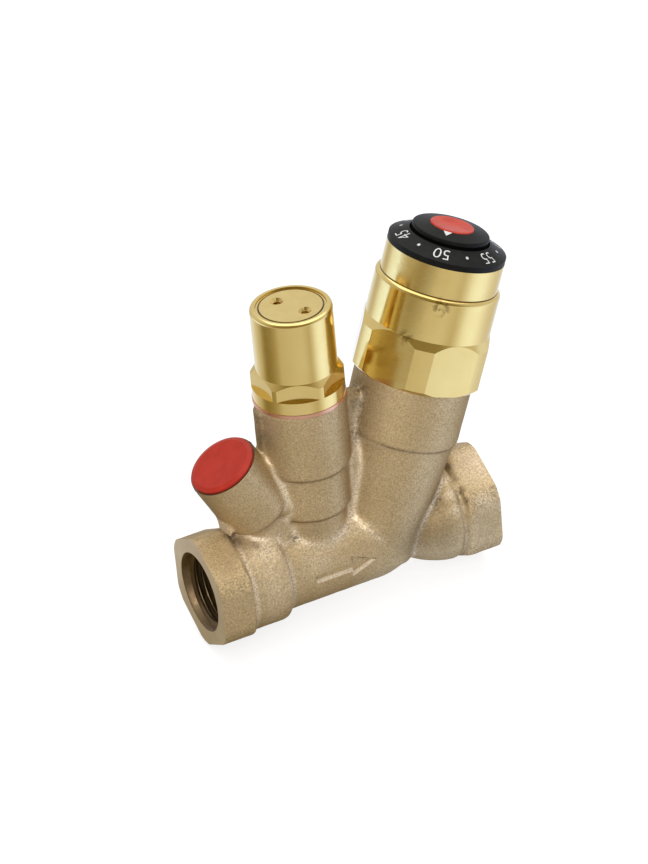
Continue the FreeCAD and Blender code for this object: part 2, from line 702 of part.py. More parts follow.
def spindle_pieces():
    """The spindle with its seals and clip, and the screw and washer that hold the hub on it."""
    body = new_body("spindle", "setting")
    seal = "(2 * spindle_seal_wire + 2 * seating_gap)"
    first = f"({DECK} + spindle_seal_pitch / 2)"
    second = f"({first} + spindle_seal_pitch)"
    clip_groove = "(spindle_groove_radius + seating_gap)"
    clip_top = f"({CLIP_FOOT} + clip_thickness + seating_gap)"
    square_top = f"({HUB_FLOOR} - seating_gap)"
    turned(body, "spindle_turning", [
        ("0", f"{NUT_CEILING} + seating_gap"),
        ("spindle_thread_radius", f"{NUT_CEILING} + seating_gap"),
        ("spindle_thread_radius", COLLAR_FOOT),
        ("spindle_collar_radius", COLLAR_FOOT),
        ("spindle_collar_radius", f"{COLLAR_FOOT} + spindle_collar_height"),
        ("spindle_radius", f"{COLLAR_FOOT} + spindle_collar_height"),
        ("spindle_radius", first),
        ("spindle_groove_radius", first),
        ("spindle_groove_radius", f"{first} + {seal}"),
        ("spindle_radius", f"{first} + {seal}"),
        ("spindle_radius", second),
        ("spindle_groove_radius", second),
        ("spindle_groove_radius", f"{second} + {seal}"),
        ("spindle_radius", f"{second} + {seal}"),
        ("spindle_radius", CLIP_FOOT),
        ("spindle_groove_radius", CLIP_FOOT),
        ("spindle_groove_radius", clip_top),
        ("spindle_radius", clip_top),
        ("spindle_radius", HUB_FOOT),
        ("0", HUB_FOOT),
    ])
    sketch = new_sketch(body, "spindle_square_outline", "XY_Plane", ("0", "0", HUB_FOOT))
    half = "(spindle_square / 2)"
    draw_outline(sketch, rectangle((f"-{half}", f"-{half}"), (half, half)))
    extruded(body, "spindle_square_end", sketch, f"{square_top} - {HUB_FOOT}")
    turned(body, "spindle_screw_hole", rectangle(
        ("0", f"{HUB_FLOOR} - screw_length - seating_gap"), ("screw_radius + seating_gap", square_top)), cut=True)
    seal_rings("spindle_seals", "setting", "spindle_groove_radius + seating_gap + spindle_seal_wire",
               "spindle_seal_wire", f"{first} + {seal} / 2", copies=2, pitch="spindle_seal_pitch")
    ring("spindle_clip", "setting", clip_groove, "spindle_clip_radius", CLIP_FOOT, f"{CLIP_FOOT} + clip_thickness")
    washer_top = f"({HUB_FLOOR} + screw_washer_height)"
    ring("hub_washer", "setting", "screw_radius + seating_gap", "screw_washer_radius", HUB_FLOOR, washer_top)
    body = new_body("hub_screw", "setting")
    turned(body, "hub_screw_turning", [
        ("0", f"{HUB_FLOOR} - screw_length"),
        ("screw_radius", f"{HUB_FLOOR} - screw_length"),
        ("screw_radius", washer_top),
        ("screw_head_radius", washer_top),
        ("screw_head_radius", f"{washer_top} + screw_head_height"),
        ("0", f"{washer_top} + screw_head_height"),
    ])


def setting_nut_pieces():
    """The keyed nut that the spindle drives, with the over-travel spring, its cup and its clip."""
    body = new_body("setting_nut", "setting")
    outside = "(guide_radius - running_gap)"
    turned(body, "nut_turning", rectangle(("0", NUT_FOOT), (outside, NUT_TOP)))
    sketch = new_sketch(body, "nut_keys_outline", "XY_Plane", ("0", "0", NUT_FOOT))
    draw_outline(sketch, rectangle(("-key_radius", "-key_width / 2"), ("key_radius", "key_width / 2")))
    extruded(body, "nut_keys", sketch, "nut_length")
    groove = "(nut_cavity_radius + nut_clip_lip)"
    turned(body, "nut_bore", [
        ("0", NUT_FOOT),
        ("nut_cavity_radius", NUT_FOOT),
        ("nut_cavity_radius", f"{NUT_FOOT} + nut_clip_lip"),
        (groove, f"{NUT_FOOT} + nut_clip_lip"),
        (groove, CUP_FOOT),
        ("nut_cavity_radius", CUP_FOOT),
        ("nut_cavity_radius", NUT_CEILING),
        ("spindle_thread_radius + running_gap", NUT_CEILING),
        ("spindle_thread_radius + running_gap", NUT_TOP),
        ("0", NUT_TOP),
    ], cut=True)
    ring("nut_clip", "setting", "nut_cavity_radius - 2 * nut_clip_lip", f"{groove} - seating_gap",
         f"{NUT_FOOT} + nut_clip_lip", CUP_FOOT)
    ring("spring_cup", "setting", "0", "nut_cavity_radius - running_gap", CUP_FOOT, f"{CUP_FOOT} + cup_height")
    spring("overtravel_spring", "setting", "nut_cavity_radius - 2 * running_gap - overtravel_wire",
           "overtravel_wire", f"{CUP_FOOT} + cup_height", NUT_CEILING, "overtravel_turns")
    ring("element_pin", "setting", "0", "pin_radius", f"{GUIDE_TOP} - pin_depth", CUP_FOOT)


def element_pieces():
    """The wax element, the cone with its seal, the cage that guides them and the return spring."""
    body = new_body("wax_element", "setting")
    hole = "(pin_radius + running_gap)"
    hole_foot = f"({GUIDE_TOP} - pin_depth - element_stroke - seating_gap)"
    turned(body, "element_turning", [
        ("0", ELEMENT_FOOT),
        ("element_radius", ELEMENT_FOOT),
        ("element_radius", COLLAR_UNDER),
        ("element_collar_radius", COLLAR_UNDER),
        ("element_collar_radius", GUIDE_FOOT),
        ("element_guide_radius", GUIDE_FOOT),
        ("element_guide_radius", GUIDE_TOP),
        (hole, GUIDE_TOP),
        (hole, hole_foot),
        ("0", hole_foot),
    ])
    body = new_body("valve_cone", "setting")
    seal_top = f"({CONE_FOOT} + cone_seal_height)"
    turned(body, "cone_turning", [
        ("0", f"{CONE_FOOT} + seating_gap"),
        ("cone_seal_inner - seating_gap", f"{CONE_FOOT} + seating_gap"),
        ("cone_seal_inner - seating_gap", seal_top),
        ("cone_radius", seal_top),
        ("cone_radius", f"{seal_top} + cone_seal_height"),
        ("element_radius", ELEMENT_FOOT),
        ("0", ELEMENT_FOOT),
    ])
    ring("cone_seal", "setting", "cone_seal_inner", "cone_seal_outer", CONE_FOOT, seal_top)
    body = ring("guide_cage", "setting", "element_radius + cage_bore_gap", "chamber_radius - seating_gap",
                CAGE_FOOT, f"{CAGE_FOOT} + cage_height")
    sketch = new_sketch(body, "cage_hole_outline", "XY_Plane", ("0", "0", CAGE_FOOT))
    draw_circle(sketch, ("(chamber_radius + element_radius + cage_bore_gap) / 2", "0"), "cage_hole_radius")
    hole = extruded(body, "cage_hole", sketch, "cage_height", cut=True)
    pattern = body.newObject("PartDesign::PolarPattern", "cage_holes")
    pattern.Originals = [hole]
    pattern.Axis = (next(item for item in body.Origin.OriginFeatures if item.Role == "Z_Axis"), [""])
    pattern.Angle = 360
    pattern.Occurrences = 12
    body.Tip = pattern
    spring("return_spring", "setting", "(element_radius + element_collar_radius) / 2",
           "return_wire", f"{CAGE_FOOT} + cage_height", COLLAR_UNDER, "return_turns")
    wire_centre = "bonnet_thread_radius - seating_gap - seal_wire_radius"
    seal_rings("bonnet_seal", "setting", wire_centre, "seal_wire_radius",
               "setting_neck_top - seal_wire_radius - seating_gap")


def bypass_bonnet():
    """The brass bypass bonnet: flange with six milled flats, tall barrel and screwed spigot."""
    body = new_body("bypass_bonnet", "bypass")
    turned(body, "bypass_turning", [
        ("0", BYPASS_SPIGOT_END),
        ("bypass_thread_radius - seating_gap", BYPASS_SPIGOT_END),
        ("bypass_thread_radius - seating_gap", GASKET_TOP),
        ("bypass_flange_radius", GASKET_TOP),
        ("bypass_flange_radius", SHOULDER),
        ("bypass_barrel_radius", BARREL_FOOT),
        ("bypass_barrel_radius", f"{BYPASS_TOP} - bypass_rim_round", "bypass_rim_round", "left"),
        ("bypass_barrel_radius - bypass_rim_round", BYPASS_TOP),
        ("0", BYPASS_TOP),
    ])
    sketch = new_sketch(body, "bypass_flats_outline", "XY_Plane", ("0", "0", FLATS_FOOT))
    draw_outline(sketch, hexagon("bypass_flats", "bypass_flats_turn"))
    draw_circle(sketch, ("0", "0"), "bypass_flange_radius + bypass_flats / 2")
    extruded(body, "bypass_flats_cut", sketch, "bypass_flats_height + bypass_cone_height", cut=True)
    turned(body, "bypass_bonnet_bore", [
        ("0", BYPASS_SPIGOT_END),
        ("bypass_bore_radius", BYPASS_SPIGOT_END),
        ("bypass_bore_radius", DISC_FOOT),
        ("disc_radius + seating_gap", DISC_FOOT),
        ("disc_radius + seating_gap", BYPASS_TOP),
        ("0", BYPASS_TOP),
    ], cut=True)


def spanner_disc():
    """The disc that closes the barrel, with two holes for a pin spanner."""
    body = new_body("spanner_disc", "bypass")
    body.Placement = FreeCAD.Placement(FreeCAD.Vector(), FreeCAD.Rotation(FreeCAD.Vector(0, 0, 1), 1))
    tie(body, ".Placement.Rotation.Angle", "spanner_hole_turn")
    disc_top = f"({DISC_FOOT} + disc_height)"
    turned(body, "disc_turning", [
        ("0", DISC_FOOT),
        ("disc_radius", DISC_FOOT),
        ("disc_radius", f"{disc_top} - disc_groove_depth"),
        ("disc_radius - disc_groove_width", f"{disc_top} - disc_groove_depth"),
        ("disc_radius - disc_groove_width", disc_top),
        ("0", disc_top),
    ])
    hole = turned(body, "spanner_hole", [
        ("0", f"{disc_top} - spanner_hole_depth"),
        ("spanner_hole_radius", f"{disc_top} - spanner_hole_depth"),
        ("spanner_hole_radius", f"{disc_top} - spanner_mouth_depth"),
        ("spanner_mouth_radius", disc_top),
        ("0", disc_top),
    ], cut=True, frame="spanner_hole")
    pattern = body.newObject("PartDesign::PolarPattern", "spanner_holes")
    pattern.Originals = [hole]
    pattern.Axis = (next(item for item in body.Origin.OriginFeatures if item.Role == "Z_Axis"), [""])
    pattern.Angle = 360
    pattern.Occurrences = 2
    body.Tip = pattern


def bypass_cartridge():
    """What the bypass bonnet holds: gasket, plug, its seal, the wax capsule and the closing spring."""
    ring("copper_gasket", "bypass", "bypass_thread_radius + seating_gap", "gasket_radius",
         "bypass_neck_top", GASKET_TOP)
    body = new_body("bypass_plug", "bypass")
    plug_top = f"({PLUG_FOOT} + plug_height)"
    turned(body, "plug_turning", [
        ("0", f"{PLUG_FOOT} + seating_gap"),
        ("plug_seal_inner - seating_gap", f"{PLUG_FOOT} + seating_gap"),
        ("plug_seal_inner - seating_gap", f"{PLUG_FOOT} + plug_seal_height"),
        ("plug_radius", f"{PLUG_FOOT} + plug_seal_height"),
        ("plug_radius", f"{PLUG_FOOT} + 2 * plug_seal_height"),
        ("plug_stem_radius", plug_top),
        ("plug_stem_radius", CAPSULE_FOOT),
        ("0", CAPSULE_FOOT),
    ])
    ring("bypass_seal", "bypass", "plug_seal_inner", "plug_seal_outer", PLUG_FOOT,
         f"{PLUG_FOOT} + plug_seal_height")
    body = new_body("bypass_capsule", "bypass")
    turned(body, "capsule_turning", [
        ("0", CAPSULE_FOOT),
        ("capsule_radius", CAPSULE_FOOT),
        ("capsule_radius", CAPSULE_COLLAR),
        ("bypass_bore_radius - running_gap", CAPSULE_COLLAR),
        ("bypass_bore_radius - running_gap", SPRING_FOOT),
        ("capsule_guide_radius", SPRING_FOOT),
        ("capsule_guide_radius", f"{SPRING_FOOT} + capsule_guide_height"),
        ("0", f"{SPRING_FOOT} + capsule_guide_height"),
    ])
    spring("bypass_spring", "bypass", "(capsule_guide_radius + bypass_bore_radius) / 2", "bypass_wire",
           SPRING_FOOT, DISC_FOOT, "bypass_turns")


def drain_cap():
    """The red push-in cap on the drain boss."""
    body = new_body("drain_cap", "drain")
    flange = "(drain_top + seating_gap)"
    cap_top = f"({flange} + drain_cap_height)"
    stem = "(drain_bore_radius - running_gap)"
    turned(body, "drain_cap_turning", [
        ("0", flange),
        (f"{stem} - drain_stem_wall", flange),
        (f"{stem} - drain_stem_wall", f"{flange} - drain_stem_length"),
        (stem, f"{flange} - drain_stem_length"),
        (stem, flange),
        ("drain_cap_radius", flange),
        ("drain_cap_radius", f"{cap_top} - drain_cap_bevel"),
        ("drain_cap_radius - drain_cap_bevel_width", cap_top),
        ("0", f"{cap_top} - drain_cap_dish"),
    ])


valve_casting()
setting_bonnet()
dial_pieces()
spindle_pieces()
setting_nut_pieces()
element_pieces()
bypass_bonnet()
spanner_disc()
bypass_cartridge()
drain_cap()
doc.recompute()

# Every feature must have built before a file is written
for item in doc.Objects:
    if "Invalid" in item.State or "Error" in item.State:
        raise RuntimeError(f"{item.Label} did not build: {item.State}")

bodies = [item for item in doc.Objects if item.TypeId == "PartDesign::Body"]
for body in bodies:
    if body.Shape.isNull() or not body.Shape.isValid():
        raise RuntimeError(f"{body.Label} has no valid shape")

os.makedirs("parts", exist_ok=True)
for body in bodies:
    body.Shape.exportStep(f"parts/{body.Label}.step")
    print(body.Label, len(body.Shape.Solids), "solids", round(body.Shape.Volume, 2), "mm3")
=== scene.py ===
# %% [markdown]
# A hot-water circulation valve, dressed in Blender.
# The solids come from CAD and are loaded as a fixed frame, so every place below is in that frame. This
# lesson gives the metal, plastic and cast surfaces their looks, and adds what CAD leaves out: soft
# casting corners, pipe threads, the sunken flow arrow, the print on the dial and a few thin rings of
# painted shadow in seams and grooves.

# %% Load the frame
import bmesh
import bpy
import json
import math
import numpy as np
from mathutils import Matrix, Vector, noise

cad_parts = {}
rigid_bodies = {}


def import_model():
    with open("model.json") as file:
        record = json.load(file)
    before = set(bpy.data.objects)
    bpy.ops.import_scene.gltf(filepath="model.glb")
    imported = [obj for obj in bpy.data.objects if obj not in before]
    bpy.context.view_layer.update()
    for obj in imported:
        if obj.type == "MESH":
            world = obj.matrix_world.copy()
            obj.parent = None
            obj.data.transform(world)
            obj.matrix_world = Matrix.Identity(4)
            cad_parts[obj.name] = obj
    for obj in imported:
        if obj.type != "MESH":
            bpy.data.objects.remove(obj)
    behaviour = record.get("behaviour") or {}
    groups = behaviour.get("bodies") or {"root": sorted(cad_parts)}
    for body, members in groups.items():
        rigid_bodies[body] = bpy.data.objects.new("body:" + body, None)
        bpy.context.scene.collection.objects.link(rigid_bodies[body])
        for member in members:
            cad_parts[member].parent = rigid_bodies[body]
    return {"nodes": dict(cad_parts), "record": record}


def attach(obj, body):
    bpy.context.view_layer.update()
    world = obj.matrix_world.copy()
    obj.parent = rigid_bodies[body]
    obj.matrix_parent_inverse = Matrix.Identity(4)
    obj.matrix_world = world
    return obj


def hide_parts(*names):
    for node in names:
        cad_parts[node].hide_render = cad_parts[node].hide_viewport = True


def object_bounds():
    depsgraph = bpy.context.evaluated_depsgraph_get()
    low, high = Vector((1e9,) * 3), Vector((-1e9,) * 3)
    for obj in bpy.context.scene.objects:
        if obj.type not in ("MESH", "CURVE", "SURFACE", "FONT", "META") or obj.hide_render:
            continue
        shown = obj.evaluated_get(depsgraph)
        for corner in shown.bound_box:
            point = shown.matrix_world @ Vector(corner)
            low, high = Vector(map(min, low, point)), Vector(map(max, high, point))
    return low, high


for start_object in list(bpy.data.objects):
    bpy.data.objects.remove(start_object)
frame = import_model()
cad_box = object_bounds()
MM = 0.001
print("CAD box in mm:", [[round(x / MM, 2) for x in corner] for corner in cad_box])

# %% [markdown]
# Each neck of the valve is turned about its own axis, so a neck is easiest to describe by its foot on the
# pipe and the direction it points in. The two pipe ends are treated as necks that lie along the pipe. A
# small class keeps foot and direction together and turns a height, a radius and an angle into a point.

# %% The axes of the valve
class Axis:
    def __init__(self, foot_mm, lean_degrees):
        lean = math.radians(lean_degrees)
        self.foot = Vector((foot_mm * MM, 0, 0))
        self.up = Vector((math.sin(lean), 0, math.cos(lean)))
        self.across = Vector((math.cos(lean), 0, -math.sin(lean)))

    def point(self, height, radius=0.0, degrees=0.0):
        angle = math.radians(degrees)
        outward = self.across * math.cos(angle) + Vector((0, 1, 0)) * math.sin(angle)
        return self.foot + (self.up * height + outward * radius) * MM

    def height(self, point):
        return (point - self.foot).dot(self.up) / MM

    def radius(self, point):
        offset = point - self.foot
        return (offset - self.up * offset.dot(self.up)).length / MM


setting_axis = Axis(53.0, 19.7)
bypass_axis = Axis(34.8, 0.0)
drain_axis = Axis(29.4, -27.2)
inlet_axis = Axis(0.0, -90.0)
outlet_axis = Axis(85.1, 90.0)
print("setting axis points to", [round(x, 3) for x in setting_axis.up])

# %% [markdown]
# The camera stands where the photographer stood: a long lens, looking down at about 32 degrees, with the
# frame turned a little. A long lens keeps the pipe and the necks almost parallel in the picture. Its
# place was found from the round rims in the photo, which show as ellipses.

# %% Camera
LENS_MM = 145.83
CAMERA_DISTANCE = 0.937
AIM = Vector((0.04098, 0.0, 0.03626))
AZIMUTH, ELEVATION, ROLL = (math.radians(x) for x in (-24.59, 31.99, 5.28))
camera_back = Vector((math.sin(AZIMUTH) * math.cos(ELEVATION),
                      -math.cos(AZIMUTH) * math.cos(ELEVATION), math.sin(ELEVATION)))
level = Vector((math.cos(AZIMUTH), math.sin(AZIMUTH), 0.0))
upright = camera_back.cross(level)
camera_right = level * math.cos(ROLL) - upright * math.sin(ROLL)
camera_up = level * math.sin(ROLL) + upright * math.cos(ROLL)
camera_data = bpy.data.cameras.new("photo_camera")
camera_data.lens = LENS_MM
camera_data.clip_start = 0.01
camera_data.clip_end = 20.0
camera = bpy.data.objects.new("photo_camera", camera_data)
turn = Matrix((camera_right, camera_up, camera_back)).transposed().to_4x4()
camera.matrix_world = Matrix.Translation(AIM + camera_back * CAMERA_DISTANCE) @ turn
bpy.context.scene.collection.objects.link(camera)
bpy.context.scene.camera = camera
bpy.context.scene.view_settings.view_transform = "Standard"
print("camera at", [round(x, 3) for x in camera.matrix_world.translation])

# %% [markdown]
# Every finish is a node material round one Principled shader. A few helpers keep the cells short: one
# starts a finish, one feeds a socket with a value or a link, one adds a noise pattern in real
# millimetres, one turns a value into a colour or a grey, and one makes a bump. The patterns read Object
# coordinates, which are metres in the CAD frame.

# %% Helpers for finishes
def start_finish(name, **sockets):
    finish = bpy.data.materials.new(name)
    finish.use_nodes = True
    shader = finish.node_tree.nodes["Principled BSDF"]
    for socket, value in sockets.items():
        shader.inputs[socket.replace("_", " ").title().replace("Ior", "IOR")].default_value = value
    return finish, shader


def feed(finish, socket, value):
    if hasattr(value, "is_output"):
        finish.node_tree.links.new(value, socket)
    elif socket.type == "RGBA":
        socket.default_value = (*value, 1.0)
    else:
        socket.default_value = value


def add_node(finish, kind, **inputs):
    node = finish.node_tree.nodes.new(kind)
    for name, value in inputs.items():
        feed(finish, node.inputs[name], value)
    return node


def place(finish):
    for node in finish.node_tree.nodes:
        if node.bl_idname == "ShaderNodeTexCoord":
            return node.outputs["Object"]
    return add_node(finish, "ShaderNodeTexCoord").outputs["Object"]


def attribute(finish, name):
    node = add_node(finish, "ShaderNodeAttribute")
    node.attribute_name = name
    return node.outputs["Fac"]


def grains(finish, size_mm, detail=2.0, rough=0.5):
    node = add_node(finish, "ShaderNodeTexNoise", Vector=place(finish), Scale=1 / (size_mm * MM),
                    Detail=detail, Roughness=rough)
    return node.outputs["Fac"]


def ramp(finish, value, *stops):
    node = add_node(finish, "ShaderNodeValToRGB", Fac=value)
    elements = node.color_ramp.elements
    while len(elements) < len(stops):
        elements.new(0.5)
    for element, (position, colour) in zip(elements, stops):
        element.position = position
        element.color = (*colour, 1.0) if hasattr(colour, "__len__") else (colour, colour, colour, 1.0)
    return node.outputs["Color"]


def mix(finish, factor, first, second, blend="MIX"):
    node = finish.node_tree.nodes.new("ShaderNodeMix")
    node.data_type = "RGBA"
    node.blend_type = blend
    for socket, value in ((node.inputs[0], factor), (node.inputs[6], first), (node.inputs[7], second)):
        feed(finish, socket, value)
    return node.outputs[2]


def math_node(finish, operation, first, second):
    node = finish.node_tree.nodes.new("ShaderNodeMath")
    node.operation = operation
    feed(finish, node.inputs[0], first)
    feed(finish, node.inputs[1], second)
    return node.outputs[0]


def bump(finish, height, depth_mm):
    node = add_node(finish, "ShaderNodeBump", Height=height, Strength=1.0, Distance=depth_mm * MM)
    return node.outputs["Normal"]


print("helpers ready")

# %% [markdown]
# The casting is bronze poured in sand and then shot-blasted. It is a metal with a dull, grainy skin: fine
# grains about half a millimetre across, a cloudy change of tone over centimetres, and a paler, pinker
# skin down in the fillets, where the blast never wears the grain smooth. One plain noise would look the
# same everywhere, so four attributes on the mesh steer it: where the skin is pale, in the fillets and as
# painted highlights on lit places; where it is rough; and two of painted shade, a broad darkening where
# less light falls and a brown shade in creases, webs and steps. They are written further down.

# %% Cast bronze
PALE_SKIN_AND_HIGHLIGHT, BROAD_SHADE_SKIN, CREASE_SHADE_BROWN = (0.88, 0.75, 0.58), (0.26, 0.185, 0.095), (0.15, 0.105, 0.06)
cast_bronze, shader = start_finish("cast_bronze_skin", metallic=0.8, specular_tint=(0.35, 0.32, 0.28, 1.0))
pale_fillet_and_highlight, rough, painted_broad_shade, painted_crease_shade = (attribute(cast_bronze, name) for name in ("pale_fillet_and_highlight", "rough", "painted_broad_shade", "painted_crease_shade"))
clouds = grains(cast_bronze, 14.0, detail=3.0)
sand = grains(cast_bronze, 0.42, detail=2.0, rough=0.55)
grit = grains(cast_bronze, 0.52, detail=3.0, rough=0.65)
skin = ramp(cast_bronze, clouds, (0.30, (0.54, 0.405, 0.225)), (0.70, (0.60, 0.46, 0.275)))
# Pale skin of the fillets, and painted highlights on lit places, come from the same attribute.
pale_and_highlit = mix(cast_bronze, math_node(cast_bronze, "MULTIPLY", pale_fillet_and_highlight, 0.8), skin, PALE_SKIN_AND_HIGHLIGHT)
# Painted shade: the skin is darkened in broad places where less light falls.
toned = mix(cast_bronze, painted_broad_shade, pale_and_highlit, BROAD_SHADE_SKIN)
calm = ramp(cast_bronze, sand, (0.30, 0.72), (0.68, 1.15))
lively = ramp(cast_bronze, grit, (0.35, 0.56), (0.63, 1.38))
speckled = mix(cast_bronze, 1.0, toned, mix(cast_bronze, rough, calm, lively), "MULTIPLY")
# Brown painted shade in creases, webs and steps, broken into patches by noise.
patches = ramp(cast_bronze, grains(cast_bronze, 0.8, detail=3.0, rough=0.7), (0.34, 0.25), (0.62, 1.0))
crease_shade_amount = math_node(cast_bronze, "MULTIPLY", painted_crease_shade, patches)
feed(cast_bronze, shader.inputs["Base Color"], mix(cast_bronze, crease_shade_amount, speckled, CREASE_SHADE_BROWN))
feed(cast_bronze, shader.inputs["Roughness"], ramp(cast_bronze, sand, (0.3, 0.62), (0.7, 0.46)))
coarse = bump(cast_bronze, grains(cast_bronze, 1.8, detail=2.0), 0.08)
depth = math_node(cast_bronze, "MULTIPLY", math_node(cast_bronze, "ADD", rough, 0.35), 0.13 * MM)
fine = add_node(cast_bronze, "ShaderNodeBump", Height=grit, Strength=1.0, Distance=depth, Normal=coarse)
feed(cast_bronze, shader.inputs["Normal"], fine.outputs["Normal"])
print("finish:", cast_bronze.name)

# %% [markdown]
# The end faces and the bores are machined. The end faces are smooth and pale, with a faint grain. Inside
# the bores the metal is painted dark, a painted shade for the little light that reaches in. One finish
# for both would be simpler, but the rims of the ports stand out only if the bores are dark.

# %% Machined bronze
machined_bronze, shader = start_finish("machined_bronze", metallic=0.4)
tone = ramp(machined_bronze, grains(machined_bronze, 9.0),
            (0.3, (0.58, 0.46, 0.31)), (0.7, (0.66, 0.54, 0.38)))
feed(machined_bronze, shader.inputs["Base Color"], tone)
sheen = ramp(machined_bronze, grains(machined_bronze, 3.0), (0.3, 0.30), (0.7, 0.42))
feed(machined_bronze, shader.inputs["Roughness"], sheen)
feed(machined_bronze, shader.inputs["Normal"], bump(machined_bronze, grains(machined_bronze, 0.5), 0.02))
# Painted shade: a very dark metal for the bores, the neck tops under the caps and the threads.
bore_bronze_painted_shade, shader = start_finish("bore_bronze_painted_shade", metallic=1.0)
tone = ramp(bore_bronze_painted_shade, grains(bore_bronze_painted_shade, 4.0), (0.3, (0.17, 0.115, 0.065)), (0.7, (0.25, 0.18, 0.105)))
feed(bore_bronze_painted_shade, shader.inputs["Base Color"], tone)
sheen = ramp(bore_bronze_painted_shade, grains(bore_bronze_painted_shade, 1.5), (0.3, 0.42), (0.7, 0.55))
feed(bore_bronze_painted_shade, shader.inputs["Roughness"], sheen)
print("finishes:", machined_bronze.name, bore_bronze_painted_shade.name)

# %% [markdown]
# The bonnets and the sleeve under the dial are turned from brass bar and left bright. Polished brass
# takes most of its look from what it reflects, so the finish itself stays simple: a soft cloudiness, a
# very fine unevenness, two brown handling stains on the setting bonnet and painted shade down in the two
# spanner holes, each a place, a size and an amount.

# %% Polished brass
STAIN_AND_SHADE_BROWN = (0.20, 0.11, 0.03)
STAINS_AND_HOLE_SHADE = [(70.8, -15.4, 72.1, 3.2, 0.7), (61.7, -11.2, 64.0, 2.6, 0.6),
          (32.8, 4.3, 76.6, 1.9, 1.0), (36.8, -4.3, 76.6, 1.9, 1.0)]
polished_brass, shader = start_finish("polished_brass", metallic=1.0)
tone = ramp(polished_brass, grains(polished_brass, 12.0, detail=3.0),
            (0.30, (0.83, 0.63, 0.245)), (0.70, (0.88, 0.69, 0.29)))
blots = ramp(polished_brass, grains(polished_brass, 1.6, detail=3.0, rough=0.6), (0.44, 0.0), (0.56, 1.0))
# The first two spots are handling stains; the last two are painted shade inside the spanner holes.
for x, y, z, size, amount in STAINS_AND_HOLE_SHADE:
    away = add_node(polished_brass, "ShaderNodeVectorMath", Vector=place(polished_brass))
    away.operation = "DISTANCE"
    away.inputs[1].default_value = (x * MM, y * MM, z * MM)
    share = math_node(polished_brass, "DIVIDE", away.outputs["Value"], size * MM)
    stain_and_shade = ramp(polished_brass, share, (0.4, amount), (1.0, 0.0))
    tone = mix(polished_brass, math_node(polished_brass, "MULTIPLY", stain_and_shade, blots), tone, STAIN_AND_SHADE_BROWN)
feed(polished_brass, shader.inputs["Base Color"], tone)
sheen = ramp(polished_brass, grains(polished_brass, 2.5, detail=3.0), (0.3, 0.11), (0.7, 0.19))
feed(polished_brass, shader.inputs["Roughness"], sheen)
unevenness = bump(polished_brass, grains(polished_brass, 0.9, detail=2.0), 0.006)
feed(polished_brass, shader.inputs["Normal"], unevenness)
print("finish:", polished_brass.name)

# %% [markdown]
# The gasket is soft copper, the dial is moulded black plastic, the two caps are red plastic, and rubber
# rings and steel springs sit inside. Each gets a light and a dark tone and a grain at its own scale. The
# matt black painted shade of a deep groove, the brown painted shadow of a seam and the white print follow
# the same plan, so one function makes them all.

# %% Copper, plastics, rubber and steel
def grained_finish(name, light, dark, rough, grain_mm, depth_mm, **sockets):
    finish, shader = start_finish(name, **sockets)
    cloud = grains(finish, grain_mm * 8, detail=3.0)
    feed(finish, shader.inputs["Base Color"], ramp(finish, cloud, (0.3, dark), (0.7, light)))
    fine = grains(finish, grain_mm, detail=2.0)
    feed(finish, shader.inputs["Roughness"], ramp(finish, fine, (0.3, rough - 0.05), (0.7, rough + 0.05)))
    feed(finish, shader.inputs["Normal"], bump(finish, fine, depth_mm))
    return finish


soft_copper = grained_finish("soft_copper", (0.82, 0.48, 0.36), (0.72, 0.38, 0.27), 0.30, 0.8, 0.01,
                             metallic=1.0)
black_plastic = grained_finish("moulded_black", (0.012, 0.012, 0.0115), (0.007, 0.007, 0.0065),
                               0.42, 0.35, 0.012, specular_ior_level=0.12)
cap_red = grained_finish("drain_cap_red", (0.52, 0.034, 0.016), (0.45, 0.026, 0.012), 0.40, 0.4, 0.012,
                         specular_ior_level=0.25)
hub_red = grained_finish("hub_cap_red", (0.66, 0.085, 0.05), (0.54, 0.040, 0.020), 0.22, 0.45, 0.004,
                         specular_ior_level=0.12)
# Painted shade: matt black for the deep gap round the hub.
gap_shadow_black = grained_finish("gap_shadow_black", (0.003, 0.003, 0.003), (0.002, 0.002, 0.002), 0.8, 0.4, 0.01,
                              specular_ior_level=0.02)
# Painted shadow: brown for the seam at the sleeve foot and the groove round the spanner disc.
seam_shadow_brown = grained_finish("seam_shadow_brown", (0.20, 0.13, 0.05), (0.06, 0.038, 0.016), 0.6, 0.5, 0.01)
seal_rubber = grained_finish("seal_rubber_black", (0.02, 0.02, 0.02), (0.014, 0.014, 0.014), 0.65, 0.3, 0.01)
spring_steel = grained_finish("drawn_steel", (0.58, 0.58, 0.59), (0.50, 0.50, 0.51), 0.32, 0.3, 0.005,
                              metallic=1.0)
print_white = grained_finish("print_white", (0.80, 0.80, 0.79), (0.72, 0.72, 0.71), 0.5, 0.2, 0.004)
print("finishes:", [finish.name for finish in bpy.data.materials])

# %% [markdown]
# CAD nodes whose shape is right keep it and only get a finish. The record says which material slot each
# node has, so one table from slot to finish dresses them all; the red cap in the dial is a brighter red
# than the drain cap.

# %% Dress the CAD nodes
finish_of_slot = {"cast_bronze": cast_bronze, "turned_brass": polished_brass, "copper": soft_copper,
                  "black_plastic": black_plastic, "red_plastic": cap_red, "seal_rubber": seal_rubber,
                  "spring_steel": spring_steel}
for subpart in frame["record"]["subparts"]:
    node = frame["nodes"][subpart["node"]]
    node.data.materials.clear()
    node.data.materials.append(finish_of_slot[subpart["material_slot"]])
frame["nodes"]["hub_cap"].data.materials[0] = hub_red
print("dressed", len(frame["nodes"]), "CAD nodes")

# %% [markdown]
# The casting has soft corners wherever sand moulded it, and sharp edges only where it was machined. CAD
# gives sharp corners everywhere. Rounding edge by edge is hard where three necks and their webs cross, so
# it is done like clay: a copy of its mesh is split along the five machined openings, and the bores inside
# are kept as they are. An opening is an axis, the height of its machined face, and how far its rim and
# its neck reach from the axis.

